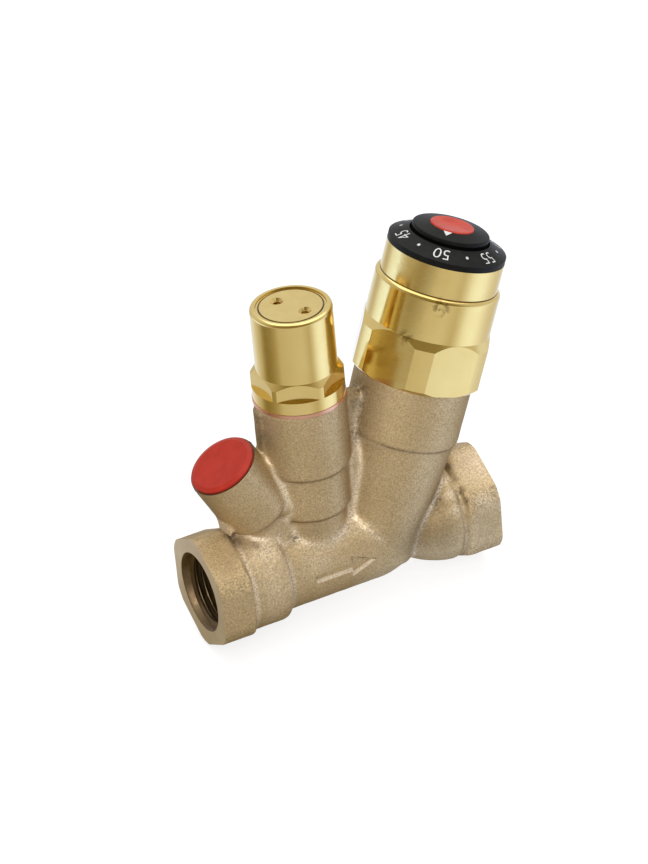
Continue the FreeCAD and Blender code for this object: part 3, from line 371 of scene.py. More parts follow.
# %% Split the casting into outside and bores
OPENINGS = [(inlet_axis, 0.0, 12.8, 20.0), (outlet_axis, 0.0, 12.8, 20.0), (setting_axis, 48.7, 14.8, 18.0),
            (bypass_axis, 50.3, 11.0, 14.0), (drain_axis, 40.9, 8.0, 11.5)]
ON_PLANE_MM, WELD_MM = 0.005, 0.0005


def on_top(axis, top, vertices, reach, within=ON_PLANE_MM):
    return all(abs(axis.height(v.co) - top) < within and axis.radius(v.co) < reach for v in vertices)


skin_bm = bmesh.new()
skin_bm.from_mesh(frame["nodes"]["valve_body"].data)
bmesh.ops.remove_doubles(skin_bm, verts=skin_bm.verts[:], dist=WELD_MM * MM)
rims = [edge for edge in skin_bm.edges
        if any(on_top(axis, top, edge.verts, rim) for axis, top, rim, reach in OPENINGS)]
bmesh.ops.split_edges(skin_bm, edges=rims)
outside = {max(skin_bm.faces, key=lambda face: -face.calc_center_median().z)}
frontier = list(outside)
while frontier:
    face = frontier.pop()
    for edge in face.edges:
        for neighbour in edge.link_faces:
            if neighbour not in outside:
                outside.add(neighbour)
                frontier.append(neighbour)
skin_bm.faces.index_update()
outside_numbers = [face.index for face in outside]
bores_bm = skin_bm.copy()
bores_bm.faces.ensure_lookup_table()
bmesh.ops.delete(bores_bm, geom=[bores_bm.faces[i] for i in outside_numbers], context="FACES")
bmesh.ops.delete(skin_bm, geom=[face for face in skin_bm.faces if face not in outside], context="FACES")
print("rim edges", len(rims), "outside faces", len(skin_bm.faces), "bore faces", len(bores_bm.faces))

# %% [markdown]
# The outside is closed at its openings and lengthened a little past each machined face. When it is cut
# back later, the cut edges come out sharp, as a lathe leaves them.

# %% Close and lengthen the outside
OVERRUN_MM = 3.0
open_edges = [edge for edge in skin_bm.edges if edge.is_boundary]
bmesh.ops.holes_fill(skin_bm, edges=open_edges, sides=0)
for axis, top, rim, reach in OPENINGS:
    lids = [face for face in skin_bm.faces if on_top(axis, top, face.verts, reach)]
    grown = bmesh.ops.extrude_face_region(skin_bm, geom=lids)
    bmesh.ops.translate(skin_bm, vec=axis.up * OVERRUN_MM * MM,
                        verts=[item for item in grown["geom"] if isinstance(item, bmesh.types.BMVert)])
bmesh.ops.recalc_face_normals(skin_bm, faces=skin_bm.faces[:])
rough_mesh = bpy.data.meshes.new("casting_rough")
skin_bm.to_mesh(rough_mesh)
open_left = sum(edge.is_boundary for edge in skin_bm.edges)
skin_bm.free()
print("lengthened outside:", len(rough_mesh.polygons), "faces, open edges left:", open_left)

# %% [markdown]
# The Remesh modifier rebuilds the outside from small voxels. All its faces then have about the same size,
# so one smoothing rule works the same everywhere, also where necks and webs meet. Subdividing instead
# would keep the long, thin triangles of the CAD mesh.

# %% Rebuild from voxels
VOXEL_MM = 0.45
rough_object = bpy.data.objects.new("casting_rough", rough_mesh)
bpy.context.scene.collection.objects.link(rough_object)
remesh = rough_object.modifiers.new("voxels", "REMESH")
remesh.mode = "VOXEL"
remesh.voxel_size = VOXEL_MM * MM
depsgraph = bpy.context.evaluated_depsgraph_get()
clay = bpy.data.meshes.new_from_object(rough_object.evaluated_get(depsgraph))
bpy.data.objects.remove(rough_object)
print("clay:", len(clay.vertices), "points,", len(clay.polygons), "faces")

# %% [markdown]
# The points are moved in small steps towards the average of their neighbours. A step back after each step
# keeps the volume, so this first pass only takes the voxel stairs away.

# %% Smooth the clay
RELAX_STEPS, STEP_ON, STEP_BACK = 6, 0.5, 0.52


def read_points(mesh):
    flat = np.empty(len(mesh.vertices) * 3)
    mesh.vertices.foreach_get("co", flat)
    return flat.reshape(-1, 3)


def read_normals(mesh):
    flat = np.empty(len(mesh.vertices) * 3, np.float32)
    mesh.vertex_normals.foreach_get("vector", flat)
    return flat.reshape(-1, 3).astype(float)


def write_points(mesh, points):
    mesh.vertices.foreach_set("co", points.ravel())
    mesh.update()


ends = np.empty(len(clay.edges) * 2, int)
clay.edges.foreach_get("vertices", ends)
ends = ends.reshape(-1, 2)
count = np.bincount(ends.ravel(), minlength=len(clay.vertices))


def pull(points):
    total = np.empty_like(points)
    for i in range(3):
        total[:, i] = (np.bincount(ends[:, 0], points[ends[:, 1], i], len(points))
                       + np.bincount(ends[:, 1], points[ends[:, 0], i], len(points)))
    return total / count[:, None] - points


points = read_points(clay)
for step in range(RELAX_STEPS):
    points += STEP_ON * pull(points)
    points -= STEP_BACK * pull(points)
print("relaxed", len(points), "points")

# %% [markdown]
# The corners of both hexagons are turned down to a round, and the outlet hexagon is bevelled at its back,
# where a shallow groove parts it from the swell of the run. The voxels left no edges to bevel, so each is
# worked out from the distance to the pipe axis.

# %% Turn the hexagon corners
INLET_HEX_END_MM, HEX_ROUND_MM, HEX_REACH_MM, TURNED_SHARE = 9.6, 16.1, 20.0, 0.9
HEX_BACK_MM, BACK_START_MM, BACK_RADIUS_MM, BACK_SLOPE = 75.3, 75.0, 15.05, 0.55
GROOVE_X_MM, GROOVE_WIDTH_MM, GROOVE_DEPTH_MM, GROOVE_REACH_MM = 74.4, 0.9, 0.9, 15.3
x_mm = points[:, 0] / MM
from_pipe = np.hypot(points[:, 1], points[:, 2]) / MM
limit = np.where(x_mm < INLET_HEX_END_MM, HEX_ROUND_MM, np.inf)
back = x_mm > BACK_START_MM
limit[back] = np.minimum(HEX_ROUND_MM, BACK_RADIUS_MM + BACK_SLOPE * (x_mm[back] - HEX_BACK_MM))
over = np.where(from_pipe < HEX_REACH_MM, np.maximum(from_pipe - limit, 0), 0)
groove = GROOVE_DEPTH_MM * np.exp(-((x_mm - GROOVE_X_MM) / GROOVE_WIDTH_MM) ** 2)
groove *= from_pipe < GROOVE_REACH_MM
points[:, 1:] *= ((from_pipe - TURNED_SHARE * over - groove) / np.maximum(from_pipe, 1.0))[:, None]
write_points(clay, points)
print("points turned down:", int((over > 0).sum()))

# %% [markdown]
# Now the inner corners are filled. Where the average of the neighbours lies outside the skin, the point
# moves out towards it, and the corner grows into a fillet; everywhere else the point hardly moves, so the
# outer edges stay. Some places stay crisper: the rings on the necks away from their crotches, the steps
# at the hexagons, and the rib beside the bypass neck.

# %% Fill the inner corners
FILLET_STEPS, FILL_SHARE, WEAR_SHARE = 50, 0.6, 0.04
CRISP_RINGS = [(bypass_axis, 16.7, 12.5, 8.5), (bypass_axis, 30.2, 13.0, 8.5),
               (setting_axis, 31.6, 16.8, 10.5)]
RING_HALF_MM, RING_SOFTNESS = 1.3, 0.05
CRISP_STEPS = [(8.5, 10.8, np.inf, 0.35), (20.5, 23.5, np.inf, 0.45), (73.0, 77.8, 17.5, 0.08)]
RIB_HALF_MM, RIB_END_MM, RIB_FOOT_MM, RIB_SOFTNESS = 3.2, 24.2, 37.0, 0.1


def along_axis(points, axis):
    offset = points - np.array(axis.foot)
    height = offset @ np.array(axis.up)
    radius = np.linalg.norm(offset - height[:, None] * np.array(axis.up), axis=1)
    sideways = abs(offset @ np.array(axis.across))
    return height / MM, radius / MM, sideways / MM


before_fillets = points.copy()
softness = np.ones(len(points))
for axis, ring, reach, side in CRISP_RINGS:
    height, radius, sideways = along_axis(points, axis)
    softness[(abs(height - ring) < RING_HALF_MM) & (radius < reach) & (sideways < side)] = RING_SOFTNESS
for low, high, reach, amount in CRISP_STEPS:
    softness[(x_mm > low) & (x_mm < high) & (from_pipe < reach)] = amount
in_rib = (abs(points[:, 1]) < RIB_HALF_MM * MM) & (x_mm < RIB_END_MM) & (points[:, 2] > RIB_FOOT_MM * MM)
softness[in_rib] = RIB_SOFTNESS
for step in range(FILLET_STEPS):
    shift = pull(points)
    outward = np.einsum("ij,ij->i", shift, read_normals(clay))
    points += shift * (np.where(outward > 0, FILL_SHARE, WEAR_SHARE) * softness)[:, None]
    write_points(clay, points)
filled_mm = np.linalg.norm(points - before_fillets, axis=1) / MM
print("deepest fill %.2f mm" % filled_mm.max())

# %% [markdown]
# Sand never gives a perfect surface, so the skin also gets a slight unevenness, about a twentieth of a
# millimetre, and a low ridge along the middle plane, where the two halves of the mould met. A bump alone
# would leave the outline too clean. Just under the two bonnets the necks are turned down a little, which
# leaves a thin shadow line.

# %% Uneven skin and parting ridge
SEAM_WIDTH_MM, SEAM_RISE_MM = 0.45, 0.16
WAVE_MM, LONG_WAVE_MM, SHORT_WAVE_MM, SHORT_SHARE = 0.05, 3.5, 1.3, 0.6
UNDERCUT_MM, UNDERCUT_MIDDLE_MM, UNDERCUT_HALF_MM, UNDERCUT_REACH_MM = 0.3, 0.5, 1.2, 3.0
normals = read_normals(clay)
waves = np.array([noise.noise(Vector(p) / (LONG_WAVE_MM * MM))
                  + SHORT_SHARE * noise.noise(Vector(p) / (SHORT_WAVE_MM * MM)) for p in points])
seam = np.exp(-(points[:, 1] / MM / SEAM_WIDTH_MM) ** 2) * (abs(normals[:, 1]) < 0.6)
points += normals * ((WAVE_MM * waves + SEAM_RISE_MM * seam) * MM)[:, None]
for axis, top, rim, reach in OPENINGS[2:4]:
    height, radius, sideways = along_axis(points, axis)
    upright_wall = abs(normals @ np.array(axis.up)) < 0.5
    under = np.clip(UNDERCUT_HALF_MM - abs(height - top - UNDERCUT_MIDDLE_MM), 0, 1)
    under *= (radius < reach + UNDERCUT_REACH_MM) * upright_wall
    points -= normals * (UNDERCUT_MM * MM * under)[:, None]
write_points(clay, points)
print("seam points:", int((seam > 0.5).sum()))

# %% [markdown]
# The skin is paler wherever a fillet was filled. The pale spread over the run below the necks, the
# bands at the steps of the inlet, brightest where they face up, and a few spots on the swell, the collar
# and the outlet hexagon are painted highlights. A spot is a place in millimetres, a size and an amount;
# both sides of the valve share the spots, because the side is folded to one.

# %% Pale fillets and painted highlights
PALE_FROM_MM, PALE_SPAN_MM = 0.10, 0.40
SPREAD_STEPS, SPREAD_FLOOR_MM = 60, 4.0
CROTCH_X_MM, CROTCH_WIDTH_MM, CROTCH_TOP_MM, CROTCH_FADE_MM = 36.0, 13.0, 11.5, 2.0
# Bands of painted highlight at the inlet steps, brighter where the skin faces up: x, width, amount.
PAINTED_HIGHLIGHT_BANDS = [(10.4, 0.8, 0.8), (21.6, 0.8, 0.8), (16.0, 5.0, 0.35)]
BAND_REACH_MM = 16.5
# Spots of painted highlight on lit places of the swell, the collar, the run and the outlet hexagon.
PAINTED_HIGHLIGHT_SPOTS = [(72.6, 10.3, 10.2, 1.8, 0.9), (72.6, 12.8, 6.5, 2.0, 0.8), (72.8, 6.5, 13.0, 2.0, 0.7),
        (30.0, 11.4, 5.5, 5.0, 0.4), (17.0, 8.0, 12.0, 5.0, 0.7), (82.5, 6.0, 13.8, 7.0, 0.5),
        (81.0, 14.6, 8.2, 2.4, 0.8), (79.0, 14.6, 8.6, 2.0, 0.8), (87.0, 14.6, 8.2, 4.0, 0.6)]
folded = points / MM
folded[:, 1] = abs(folded[:, 1])


def spots(places):
    value = np.zeros(len(folded))
    for x, y, z, size, amount in places:
        away = np.linalg.norm(folded - (x, y, z), axis=1)
        value = np.maximum(value, amount * np.exp(-(away / size) ** 2))
    return value


pale_and_highlight_value = np.clip((filled_mm - PALE_FROM_MM) / PALE_SPAN_MM, 0, 1)
source = np.repeat((pale_and_highlight_value * (folded[:, 2] > SPREAD_FLOOR_MM))[:, None], 3, axis=1)
spread = source
for step in range(SPREAD_STEPS):
    spread = np.maximum(spread + pull(spread), source)
# Below the necks the pale spread from the fillets is a painted highlight.
crotch = np.exp(-((folded[:, 0] - CROTCH_X_MM) / CROTCH_WIDTH_MM) ** 2)
crotch *= np.clip((CROTCH_TOP_MM - folded[:, 2]) / CROTCH_FADE_MM, 0, 1)
pale_and_highlight_value = np.maximum(pale_and_highlight_value, spread[:, 0] * crotch)
for ring_x, width, amount in PAINTED_HIGHLIGHT_BANDS:
    band = amount * np.exp(-((folded[:, 0] - ring_x) / width) ** 2) * (from_pipe < BAND_REACH_MM)
    pale_and_highlight_value = np.maximum(pale_and_highlight_value, band * np.clip(1.2 + normals[:, 2], 0, 1))
pale_and_highlight_value = np.maximum(pale_and_highlight_value, spots(PAINTED_HIGHLIGHT_SPOTS))
print("fillet share %.2f" % pale_and_highlight_value.mean())

# %% [markdown]
# The skin is darkened as painted shade in a few broad places where less light falls: low beside the
# setting neck and on the swell, at the outlet hexagon, at the bypass foot and on the inlet hexagon. A brown
# painted shade sits deep in the webs, behind the outlet hexagon and as a thin line in each step of the
# necks. Fillets, the low run and turned corners have a rougher grain.

# %% Rough places and painted shade
# Broad painted shade where less light falls: place, size and amount.
PAINTED_BROAD_SHADE_SPOTS = [(61.0, 10.5, 1.2, 8.0, 0.75), (67.0, 13.1, 0.0, 6.5, 0.6), (58.0, 12.0, 10.0, 7.0, 0.15),
        (80.0, 15.0, -1.0, 7.0, 0.25), (31.3, 9.3, 13.0, 4.0, 0.3), (4.0, 9.4, 12.0, 5.0, 0.3)]
# Spots of brown painted shade in the creases: place, size and amount.
PAINTED_CREASE_SHADE_SPOTS = [(52.5, 1.0, 46.0, 4.0, 0.9), (51.5, 2.0, 42.5, 3.5, 0.9), (50.2, 3.0, 38.5, 3.0, 0.7),
         (49.2, 3.4, 34.8, 2.4, 0.9), (21.7, 0.0, 47.0, 4.0, 0.8), (21.7, 1.5, 43.0, 3.5, 0.8),
         (68.7, 10.2, 9.2, 2.2, 1.0), (67.6, 11.2, 7.6, 1.8, 0.8), (10.3, 3.6, 14.1, 1.6, 0.9),
         (8.8, 2.0, 15.0, 1.6, 0.8), (26.0, 6.9, 11.2, 1.3, 0.9), (15.0, 6.3, 13.2, 1.0, 0.7),
         (75.6, 12.9, 8.6, 1.6, 1.0), (75.3, 10.8, 10.3, 1.5, 1.0), (75.2, 7.5, 13.0, 1.0, 0.8),
         (75.6, 4.0, 14.6, 0.9, 0.8)]
# Thin lines of painted shade in the steps: axis, height, reach, side and amount.
STEP_SHADE_LINES = [(bypass_axis, 16.5, 12.5, 10.0, 0.6), (bypass_axis, 30.0, 13.0, 10.5, 0.6),
         (setting_axis, 31.4, 16.8, 12.5, 0.6), (inlet_axis, -21.4, 14.0, 30.0, 0.15),
         (outlet_axis, -10.2, 16.0, 30.0, 0.35)]
STEP_LINE_MM, LOW_TOP_MM, LOW_FADE_MM, TURNED_FROM_MM = 0.4, 16.0, 4.0, 0.1
FILLET_ROUGH, LOW_ROUGH, TURNED_ROUGH = 0.7, 0.35, 0.5
low_part = np.clip((LOW_TOP_MM - folded[:, 2]) / LOW_FADE_MM, 0, 1)
turned = over > TURNED_FROM_MM
rough_value = np.clip(FILLET_ROUGH * pale_and_highlight_value + LOW_ROUGH * low_part + TURNED_ROUGH * turned, 0, 1)
crease_shade_value = spots(PAINTED_CREASE_SHADE_SPOTS)
for axis, ring, reach, side, amount in STEP_SHADE_LINES:
    height, radius, sideways = along_axis(points, axis)
    line = amount * np.exp(-((height - ring) / STEP_LINE_MM) ** 2) * (radius < reach)
    crease_shade_value = np.maximum(crease_shade_value, line * np.clip(side - sideways, 0, 1))
skin_values = {"pale_fillet_and_highlight": pale_and_highlight_value, "rough": rough_value, "painted_crease_shade": crease_shade_value, "painted_broad_shade": spots(PAINTED_BROAD_SHADE_SPOTS)}
for name, value in skin_values.items():
    clay.attributes.new(name, "FLOAT", "POINT").data.foreach_set("value", value.astype(np.float32))
print("shares:", {name: round(float(value.mean()), 2) for name, value in skin_values.items()})

# %% [markdown]
# The clay is cut back to the five machined faces, and the bores from CAD are put in again. Between the
# cut outline and the rim of each bore lies a flat ring, which is filled with triangles. A boolean could
# do this in one step, but planes are enough here and leave each machined face exactly flat.

# %% Cut the clay back and put the bores in
SKIN, MACHINED, BORE = 0, 1, 2
CUT_DEPTH_MM, CUT_SNAP_MM, BORDER_MM = 3.0, 0.02, 0.05


def with_borders(faces):
    edges = {edge for face in faces for edge in face.edges}
    verts = {vert for face in faces for vert in face.verts}
    return list(set(faces) | edges | verts)


casting_bm = bmesh.new()
casting_bm.from_mesh(clay)
for axis, top, rim, reach in OPENINGS:
    near = []
    for face in casting_bm.faces:
        middle = face.calc_center_median()
        if axis.radius(middle) < reach and axis.height(middle) > top - CUT_DEPTH_MM:
            near.append(face)
    bmesh.ops.bisect_plane(casting_bm, geom=with_borders(near), plane_co=axis.point(top), plane_no=axis.up,
                           clear_outer=True, dist=CUT_SNAP_MM * MM)
    loose = [vert for vert in casting_bm.verts if not vert.link_faces]
    bmesh.ops.delete(casting_bm, geom=loose, context="VERTS")
for face in bores_bm.faces:
    face.material_index = BORE
bores_mesh = bpy.data.meshes.new("bores")
bores_bm.to_mesh(bores_mesh)
bores_bm.free()
casting_bm.from_mesh(bores_mesh)
for axis, top, rim, reach in OPENINGS:
    border = [edge for edge in casting_bm.edges
              if edge.is_boundary and on_top(axis, top, edge.verts, reach, BORDER_MM)]
    for vert in {v for edge in border for v in edge.verts}:
        vert.co -= axis.up * ((axis.height(vert.co) - top) * MM)
    made = bmesh.ops.triangle_fill(casting_bm, edges=border, normal=axis.up, use_beauty=True)
    for item in made["geom"]:
        if isinstance(item, bmesh.types.BMFace):
            item.material_index = MACHINED if axis in (inlet_axis, outlet_axis) else BORE
            if item.normal.dot(axis.up) < 0:
                item.normal_flip()
print("open edges left:", sum(edge.is_boundary for edge in casting_bm.edges))

# %% [markdown]
# The flow arrow is sunk into the front of the run. A bump map would do from afar, but real walls catch
# the light. Its seven edges are cut into the skin with planes; on the round run a place is its x and the
# arc from the front.

# %% Cut the outline of the flow arrow
ARROW = [(29.2, 1.25), (40.2, 1.25), (40.2, 3.1), (47.2, 0.0), (40.2, -3.1), (40.2, -1.25), (29.2, -1.25)]
ARROW_EDGES = list(zip(ARROW, ARROW[1:] + ARROW[:1]))
RUN_RADIUS_MM, ARROW_SNAP_MM, BESIDE_MM = 12.65, 0.01, 1.0


def on_front(point):
    return point.x / MM, math.atan2(point.z, -point.y) * RUN_RADIUS_MM


def front_point(x, arc):
    angle = arc / RUN_RADIUS_MM
    return Vector((x, -RUN_RADIUS_MM * math.cos(angle), RUN_RADIUS_MM * math.sin(angle))) * MM


def is_front_skin(face):
    return face.material_index == SKIN and face.normal.y < -0.5


for (x0, a0), (x1, a1) in ARROW_EDGES:
    start, end = front_point(x0, a0), front_point(x1, a1)
    near = []
    for face in casting_bm.faces:
        x, arc = on_front(face.calc_center_median())
        if (min(x0, x1) - BESIDE_MM < x < max(x0, x1) + BESIDE_MM
                and min(a0, a1) - BESIDE_MM < arc < max(a0, a1) + BESIDE_MM and is_front_skin(face)):
            near.append(face)
    outward = (start + end) * 0.5 * Vector((0, 1, 1))
    bmesh.ops.bisect_plane(casting_bm, geom=with_borders(near), plane_co=start, dist=ARROW_SNAP_MM * MM,
                           plane_no=(end - start).cross(outward).normalized())
print("arrow edges cut:", len(ARROW_EDGES))

# %% [markdown]
# The faces inside the outline are pushed in and a little up, so that the lower wall slopes and shows. The
# upper edge is painted dark as shade, and the lower one pale as a painted highlight.

# %% Sink the flow arrow
ARROW_DEPTH_MM, ARROW_SHIFT_MM, UPPER_FROM_MM = 0.7, 0.5, -0.1


def in_arrow(point):
    x, arc = on_front(point)
    inside = False
    for (x0, a0), (x1, a1) in ARROW_EDGES:
        if (a0 > arc) != (a1 > arc) and x < x0 + (arc - a0) * (x1 - x0) / (a1 - a0):
            inside = not inside
    return inside


sunk = [face for face in casting_bm.faces if is_front_skin(face) and in_arrow(face.calc_center_median())]
sunk_set = set(sunk)
crease_shade_layer = casting_bm.verts.layers.float["painted_crease_shade"]
pale_and_highlight_layer = casting_bm.verts.layers.float["pale_fillet_and_highlight"]
# The upper edge of the arrow gets painted shade, the lower edge a painted highlight.
for vert in {v for face in sunk for v in face.verts}:
    if not set(vert.link_faces) <= sunk_set:
        upper = on_front(vert.co)[1] > UPPER_FROM_MM
        vert[crease_shade_layer] = 1.0 if upper else 0.0
        vert[pale_and_highlight_layer] = 0.0 if upper else 1.0
pushed = bmesh.ops.extrude_face_region(casting_bm, geom=sunk)
for item in pushed["geom"]:
    if isinstance(item, bmesh.types.BMVert):
        item.co -= Vector((0, item.co.y, item.co.z)).normalized() * (ARROW_DEPTH_MM * MM)
        item.co.z += ARROW_SHIFT_MM * MM
        item[crease_shade_layer] = 0.0
bmesh.ops.delete(casting_bm, geom=sunk, context="FACES")
print("arrow sunk by", ARROW_DEPTH_MM, "mm")

# %% [markdown]
# The finished casting takes the place of the CAD node. It is shaded smooth, with sharp lines where faces
# meet at more than 38 degrees, and its end faces are shaded flat.

# %% Finish the casting
SHARP_DEGREES = 38
casting_mesh = bpy.data.meshes.new("casting")
casting_bm.to_mesh(casting_mesh)
casting_bm.free()
for finish in (cast_bronze, machined_bronze, bore_bronze_painted_shade):
    casting_mesh.materials.append(finish)
casting_mesh.set_sharp_from_angle(angle=math.radians(SHARP_DEGREES))
smooth = [polygon.material_index != MACHINED for polygon in casting_mesh.polygons]
casting_mesh.polygons.foreach_set("use_smooth", smooth)
casting = bpy.data.objects.new("casting", casting_mesh)
bpy.context.scene.collection.objects.link(casting)
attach(casting, "valve")
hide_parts("valve_body")
casting_mesh.calc_loop_triangles()
print("casting:", len(casting_mesh.loop_triangles), "triangles")

# %% [markdown]
# The remaining pieces are small and are all finished in the same way: normals outward, one finish and
# the body that they ride on.

# %% Helper for small pieces
def new_piece(name, bm, finish, body):
    bmesh.ops.recalc_face_normals(bm, faces=bm.faces[:])
    mesh = bpy.data.meshes.new(name)
    bm.to_mesh(mesh)
    bm.free()
    mesh.materials.append(finish)
    piece = bpy.data.objects.new(name, mesh)
    bpy.context.scene.collection.objects.link(piece)
    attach(piece, body)
    return piece


print("piece helper ready")

# %% [markdown]
# Half-inch pipe thread runs down both ports. One ridge of the thread, drawn as a flat-topped triangle, is
# spun round the pipe axis while it moves on by one pitch each turn, which makes a true helix. Stacked
# rings would be simpler, but they would never lead a pipe in. The foot of the ridge lies just inside the
# wall of the port.

# %% Pipe threads
PITCH_MM, THREAD_TURNS, STEPS_A_TURN = 1.814, 6, 64
WALL_MM, CREST_MM = 10.53, 9.40
RIDGE = [(0.0, WALL_MM), (0.68, CREST_MM), (0.92, CREST_MM), (1.60, WALL_MM)]


def thread(name, start_mm, way):
    bm = bmesh.new()
    corners = [bm.verts.new((start_mm * MM + way * x * MM, 0.0, radius * MM)) for x, radius in RIDGE]
    profile = bm.faces.new(corners)
    bmesh.ops.spin(bm, geom=[profile] + profile.edges[:] + corners, cent=(0, 0, 0), axis=(1, 0, 0),
                   dvec=(way * PITCH_MM / STEPS_A_TURN * MM, 0, 0), angle=2 * math.pi * THREAD_TURNS * way,
                   steps=STEPS_A_TURN * THREAD_TURNS)
    # The thread takes the dark bore finish, a painted shade.
    return new_piece(name, bm, bore_bronze_painted_shade, "valve")


threads = [thread("inlet_thread", 0.7, 1), thread("outlet_thread", 84.4, -1)]
print("threads:", [(piece.name, len(piece.data.polygons)) for piece in threads])

# %% [markdown]
# The numbers are printed on the cone of the scale, with their feet towards the hub. Text is made a mesh
# first, cut finer so that it can bend, and then each point is laid on the cone a few hundredths of a
# millimetre proud. Real print is thinner still, but a piece of its own keeps its edges sharp from close
# by.

# %% Print on the scale
SLEEVE_TOP, RIM_RADIUS, RIM_HEIGHT, CONE_HEIGHT, BORE_RADIUS = 84.2, 16.05, 1.6, 2.5, 11.0
PRINT_RADIUS, PRINT_SIZE_MM, PRINT_THIN_MM, PRINT_PROUD_MM = 13.2, 4.7, 0.05, 0.03
FIRST_NUMBER, NUMBER_STEP, NUMBERS = 35, 5, 6
FIRST_ANGLE, ANGLE_STEP = 52.0, 60.0
LETTER_CUTS, DOT_SIDES, DOT_RADIUS = 2, 20, 0.42


def on_cone(flat, degrees):
    radius = PRINT_RADIUS + flat.y
    slope = CONE_HEIGHT / (RIM_RADIUS - BORE_RADIUS)
    height = SLEEVE_TOP + RIM_HEIGHT + (RIM_RADIUS - radius) * slope
    return setting_axis.point(height + PRINT_PROUD_MM, radius, degrees - math.degrees(flat.x / PRINT_RADIUS))


def add_print(bm, text, degrees):
    curve = bpy.data.curves.new("print", "FONT")
    curve.body = text
    curve.size = PRINT_SIZE_MM
    curve.offset = -PRINT_THIN_MM
    curve.align_x = "CENTER"
    curve.align_y = "CENTER"
    carrier = bpy.data.objects.new("print", curve)
    flat = bpy.data.meshes.new_from_object(carrier)
    bpy.data.objects.remove(carrier)
    letters = bmesh.new()
    letters.from_mesh(flat)
    bmesh.ops.triangulate(letters, faces=letters.faces[:])
    bmesh.ops.subdivide_edges(letters, edges=letters.edges[:], cuts=LETTER_CUTS, use_grid_fill=True)
    for vert in letters.verts:
        vert.co = on_cone(vert.co, degrees)
    bent = bpy.data.meshes.new("print")
    letters.to_mesh(bent)
    letters.free()
    bm.from_mesh(bent)


def add_dot(bm, degrees):
    disc = bmesh.ops.create_circle(bm, cap_ends=True, segments=DOT_SIDES, radius=DOT_RADIUS)
    for vert in disc["verts"]:
        vert.co = on_cone(vert.co, degrees)


scale_bm = bmesh.new()
for index in range(NUMBERS):
    add_print(scale_bm, str(FIRST_NUMBER + NUMBER_STEP * index), FIRST_ANGLE + ANGLE_STEP * index)
    add_dot(scale_bm, FIRST_ANGLE + ANGLE_STEP * (index + 0.5))
scale_print = new_piece("scale_print", scale_bm, print_white, "valve")
print("scale print:", len(scale_print.data.polygons), "faces")

# %% [markdown]
# The pointer is a white triangle on the hub, with its base at the red cap. It rides on the dial and turns
# with it, while the numbers stay with the valve.

# %% Pointer on the hub
HUB_EDGE, HUB_TOP, HUB_EDGE_RADIUS, HUB_CAP_RADIUS = 90.2, 91.0, 9.95, 6.08
POINTER_ANGLE, POINTER_TIP, POINTER_BASE, POINTER_HALF = 229.0, 8.3, 6.12, 1.2


def on_hub(radius, sideways):
    share = (HUB_EDGE_RADIUS - radius) / (HUB_EDGE_RADIUS - HUB_CAP_RADIUS)
    height = HUB_EDGE + (HUB_TOP - HUB_EDGE) * share
    degrees = POINTER_ANGLE + math.degrees(sideways / radius)
    return setting_axis.point(height + PRINT_PROUD_MM, radius, degrees)


pointer_bm = bmesh.new()
outline = [(POINTER_TIP, 0.0), (POINTER_BASE, POINTER_HALF), (POINTER_BASE, 0.0),
           (POINTER_BASE, -POINTER_HALF)]
pointer_bm.faces.new([pointer_bm.verts.new(on_hub(radius, sideways)) for radius, sideways in outline])
pointer = new_piece("pointer_print", pointer_bm, print_white, "dial")
print("pointer tip at", [round(x / MM, 1) for x in pointer.data.vertices[0].co])

# %% [markdown]
# Some joints show as thin lines. A brown ring of painted shadow lies at the foot of the sleeve on the
# drum and in the inner part of the groove round the spanner disc; the outer part of that groove is a
# bright brass land. The foot of the hub is a matt black ring, painted shade for the deep gap round it.
# Each is a thin ring, spun from one small rectangle. A stripe in the finish would need no mesh, but a
# ring has real edges.

# %% Rings of painted shadow
SEAM_STEPS = 96
# All rings but the brass land are painted shade.
SHADOW_RINGS_AND_LAND = [("sleeve_seam_shadow", setting_axis, 16.05, 16.14, 75.85, 76.12, seam_shadow_brown, "valve", "turned_brass"),
         ("disc_groove_shadow", bypass_axis, 8.42, 8.86, 76.32, 77.2, seam_shadow_brown, "valve", "turned_brass"),
         ("disc_land", bypass_axis, 8.86, 9.40, 76.32, 77.38, polished_brass, "valve", "turned_brass"),
         ("hub_foot_shadow", setting_axis, 10.5, 10.6, 87.6, 89.15, gap_shadow_black, "dial", "black_plastic")]
for name, axis, inner, outer, low, high, finish, body, slot in SHADOW_RINGS_AND_LAND:
    seam_bm = bmesh.new()
    section = ((inner, low), (outer, low), (outer, high), (inner, high))
    corners = [seam_bm.verts.new(axis.point(height, radius)) for radius, height in section]
    sides = [seam_bm.edges.new((corners[i], corners[i - 1])) for i in range(4)]
    bmesh.ops.spin(seam_bm, geom=corners + sides, cent=axis.foot, axis=axis.up, angle=2 * math.pi,
                   steps=SEAM_STEPS, use_merge=True)
    piece = new_piece(name, seam_bm, finish, body)
    print("seam:", piece.name, len(piece.data.polygons), "faces")

# %% [markdown]
# The studio is a white floor, a white surround and soft lamps. Polished brass shows what stands round it,
# so the surround isn't the same all the way: a bright sheet on the left, another on the right, a greyer
# side where the photographer stands, and darker gaps between them. Three rings of brightness, read by the
# bearing round the valve, give this to the near floor, the far floor and the walls, for reflections
# alone; the camera itself sees plain white. A photographed surround could do the same, but a few stops
# are easy to change by hand. A stop on a ring is a bearing in degrees and a brightness; dim stops are
# warmer than bright ones.

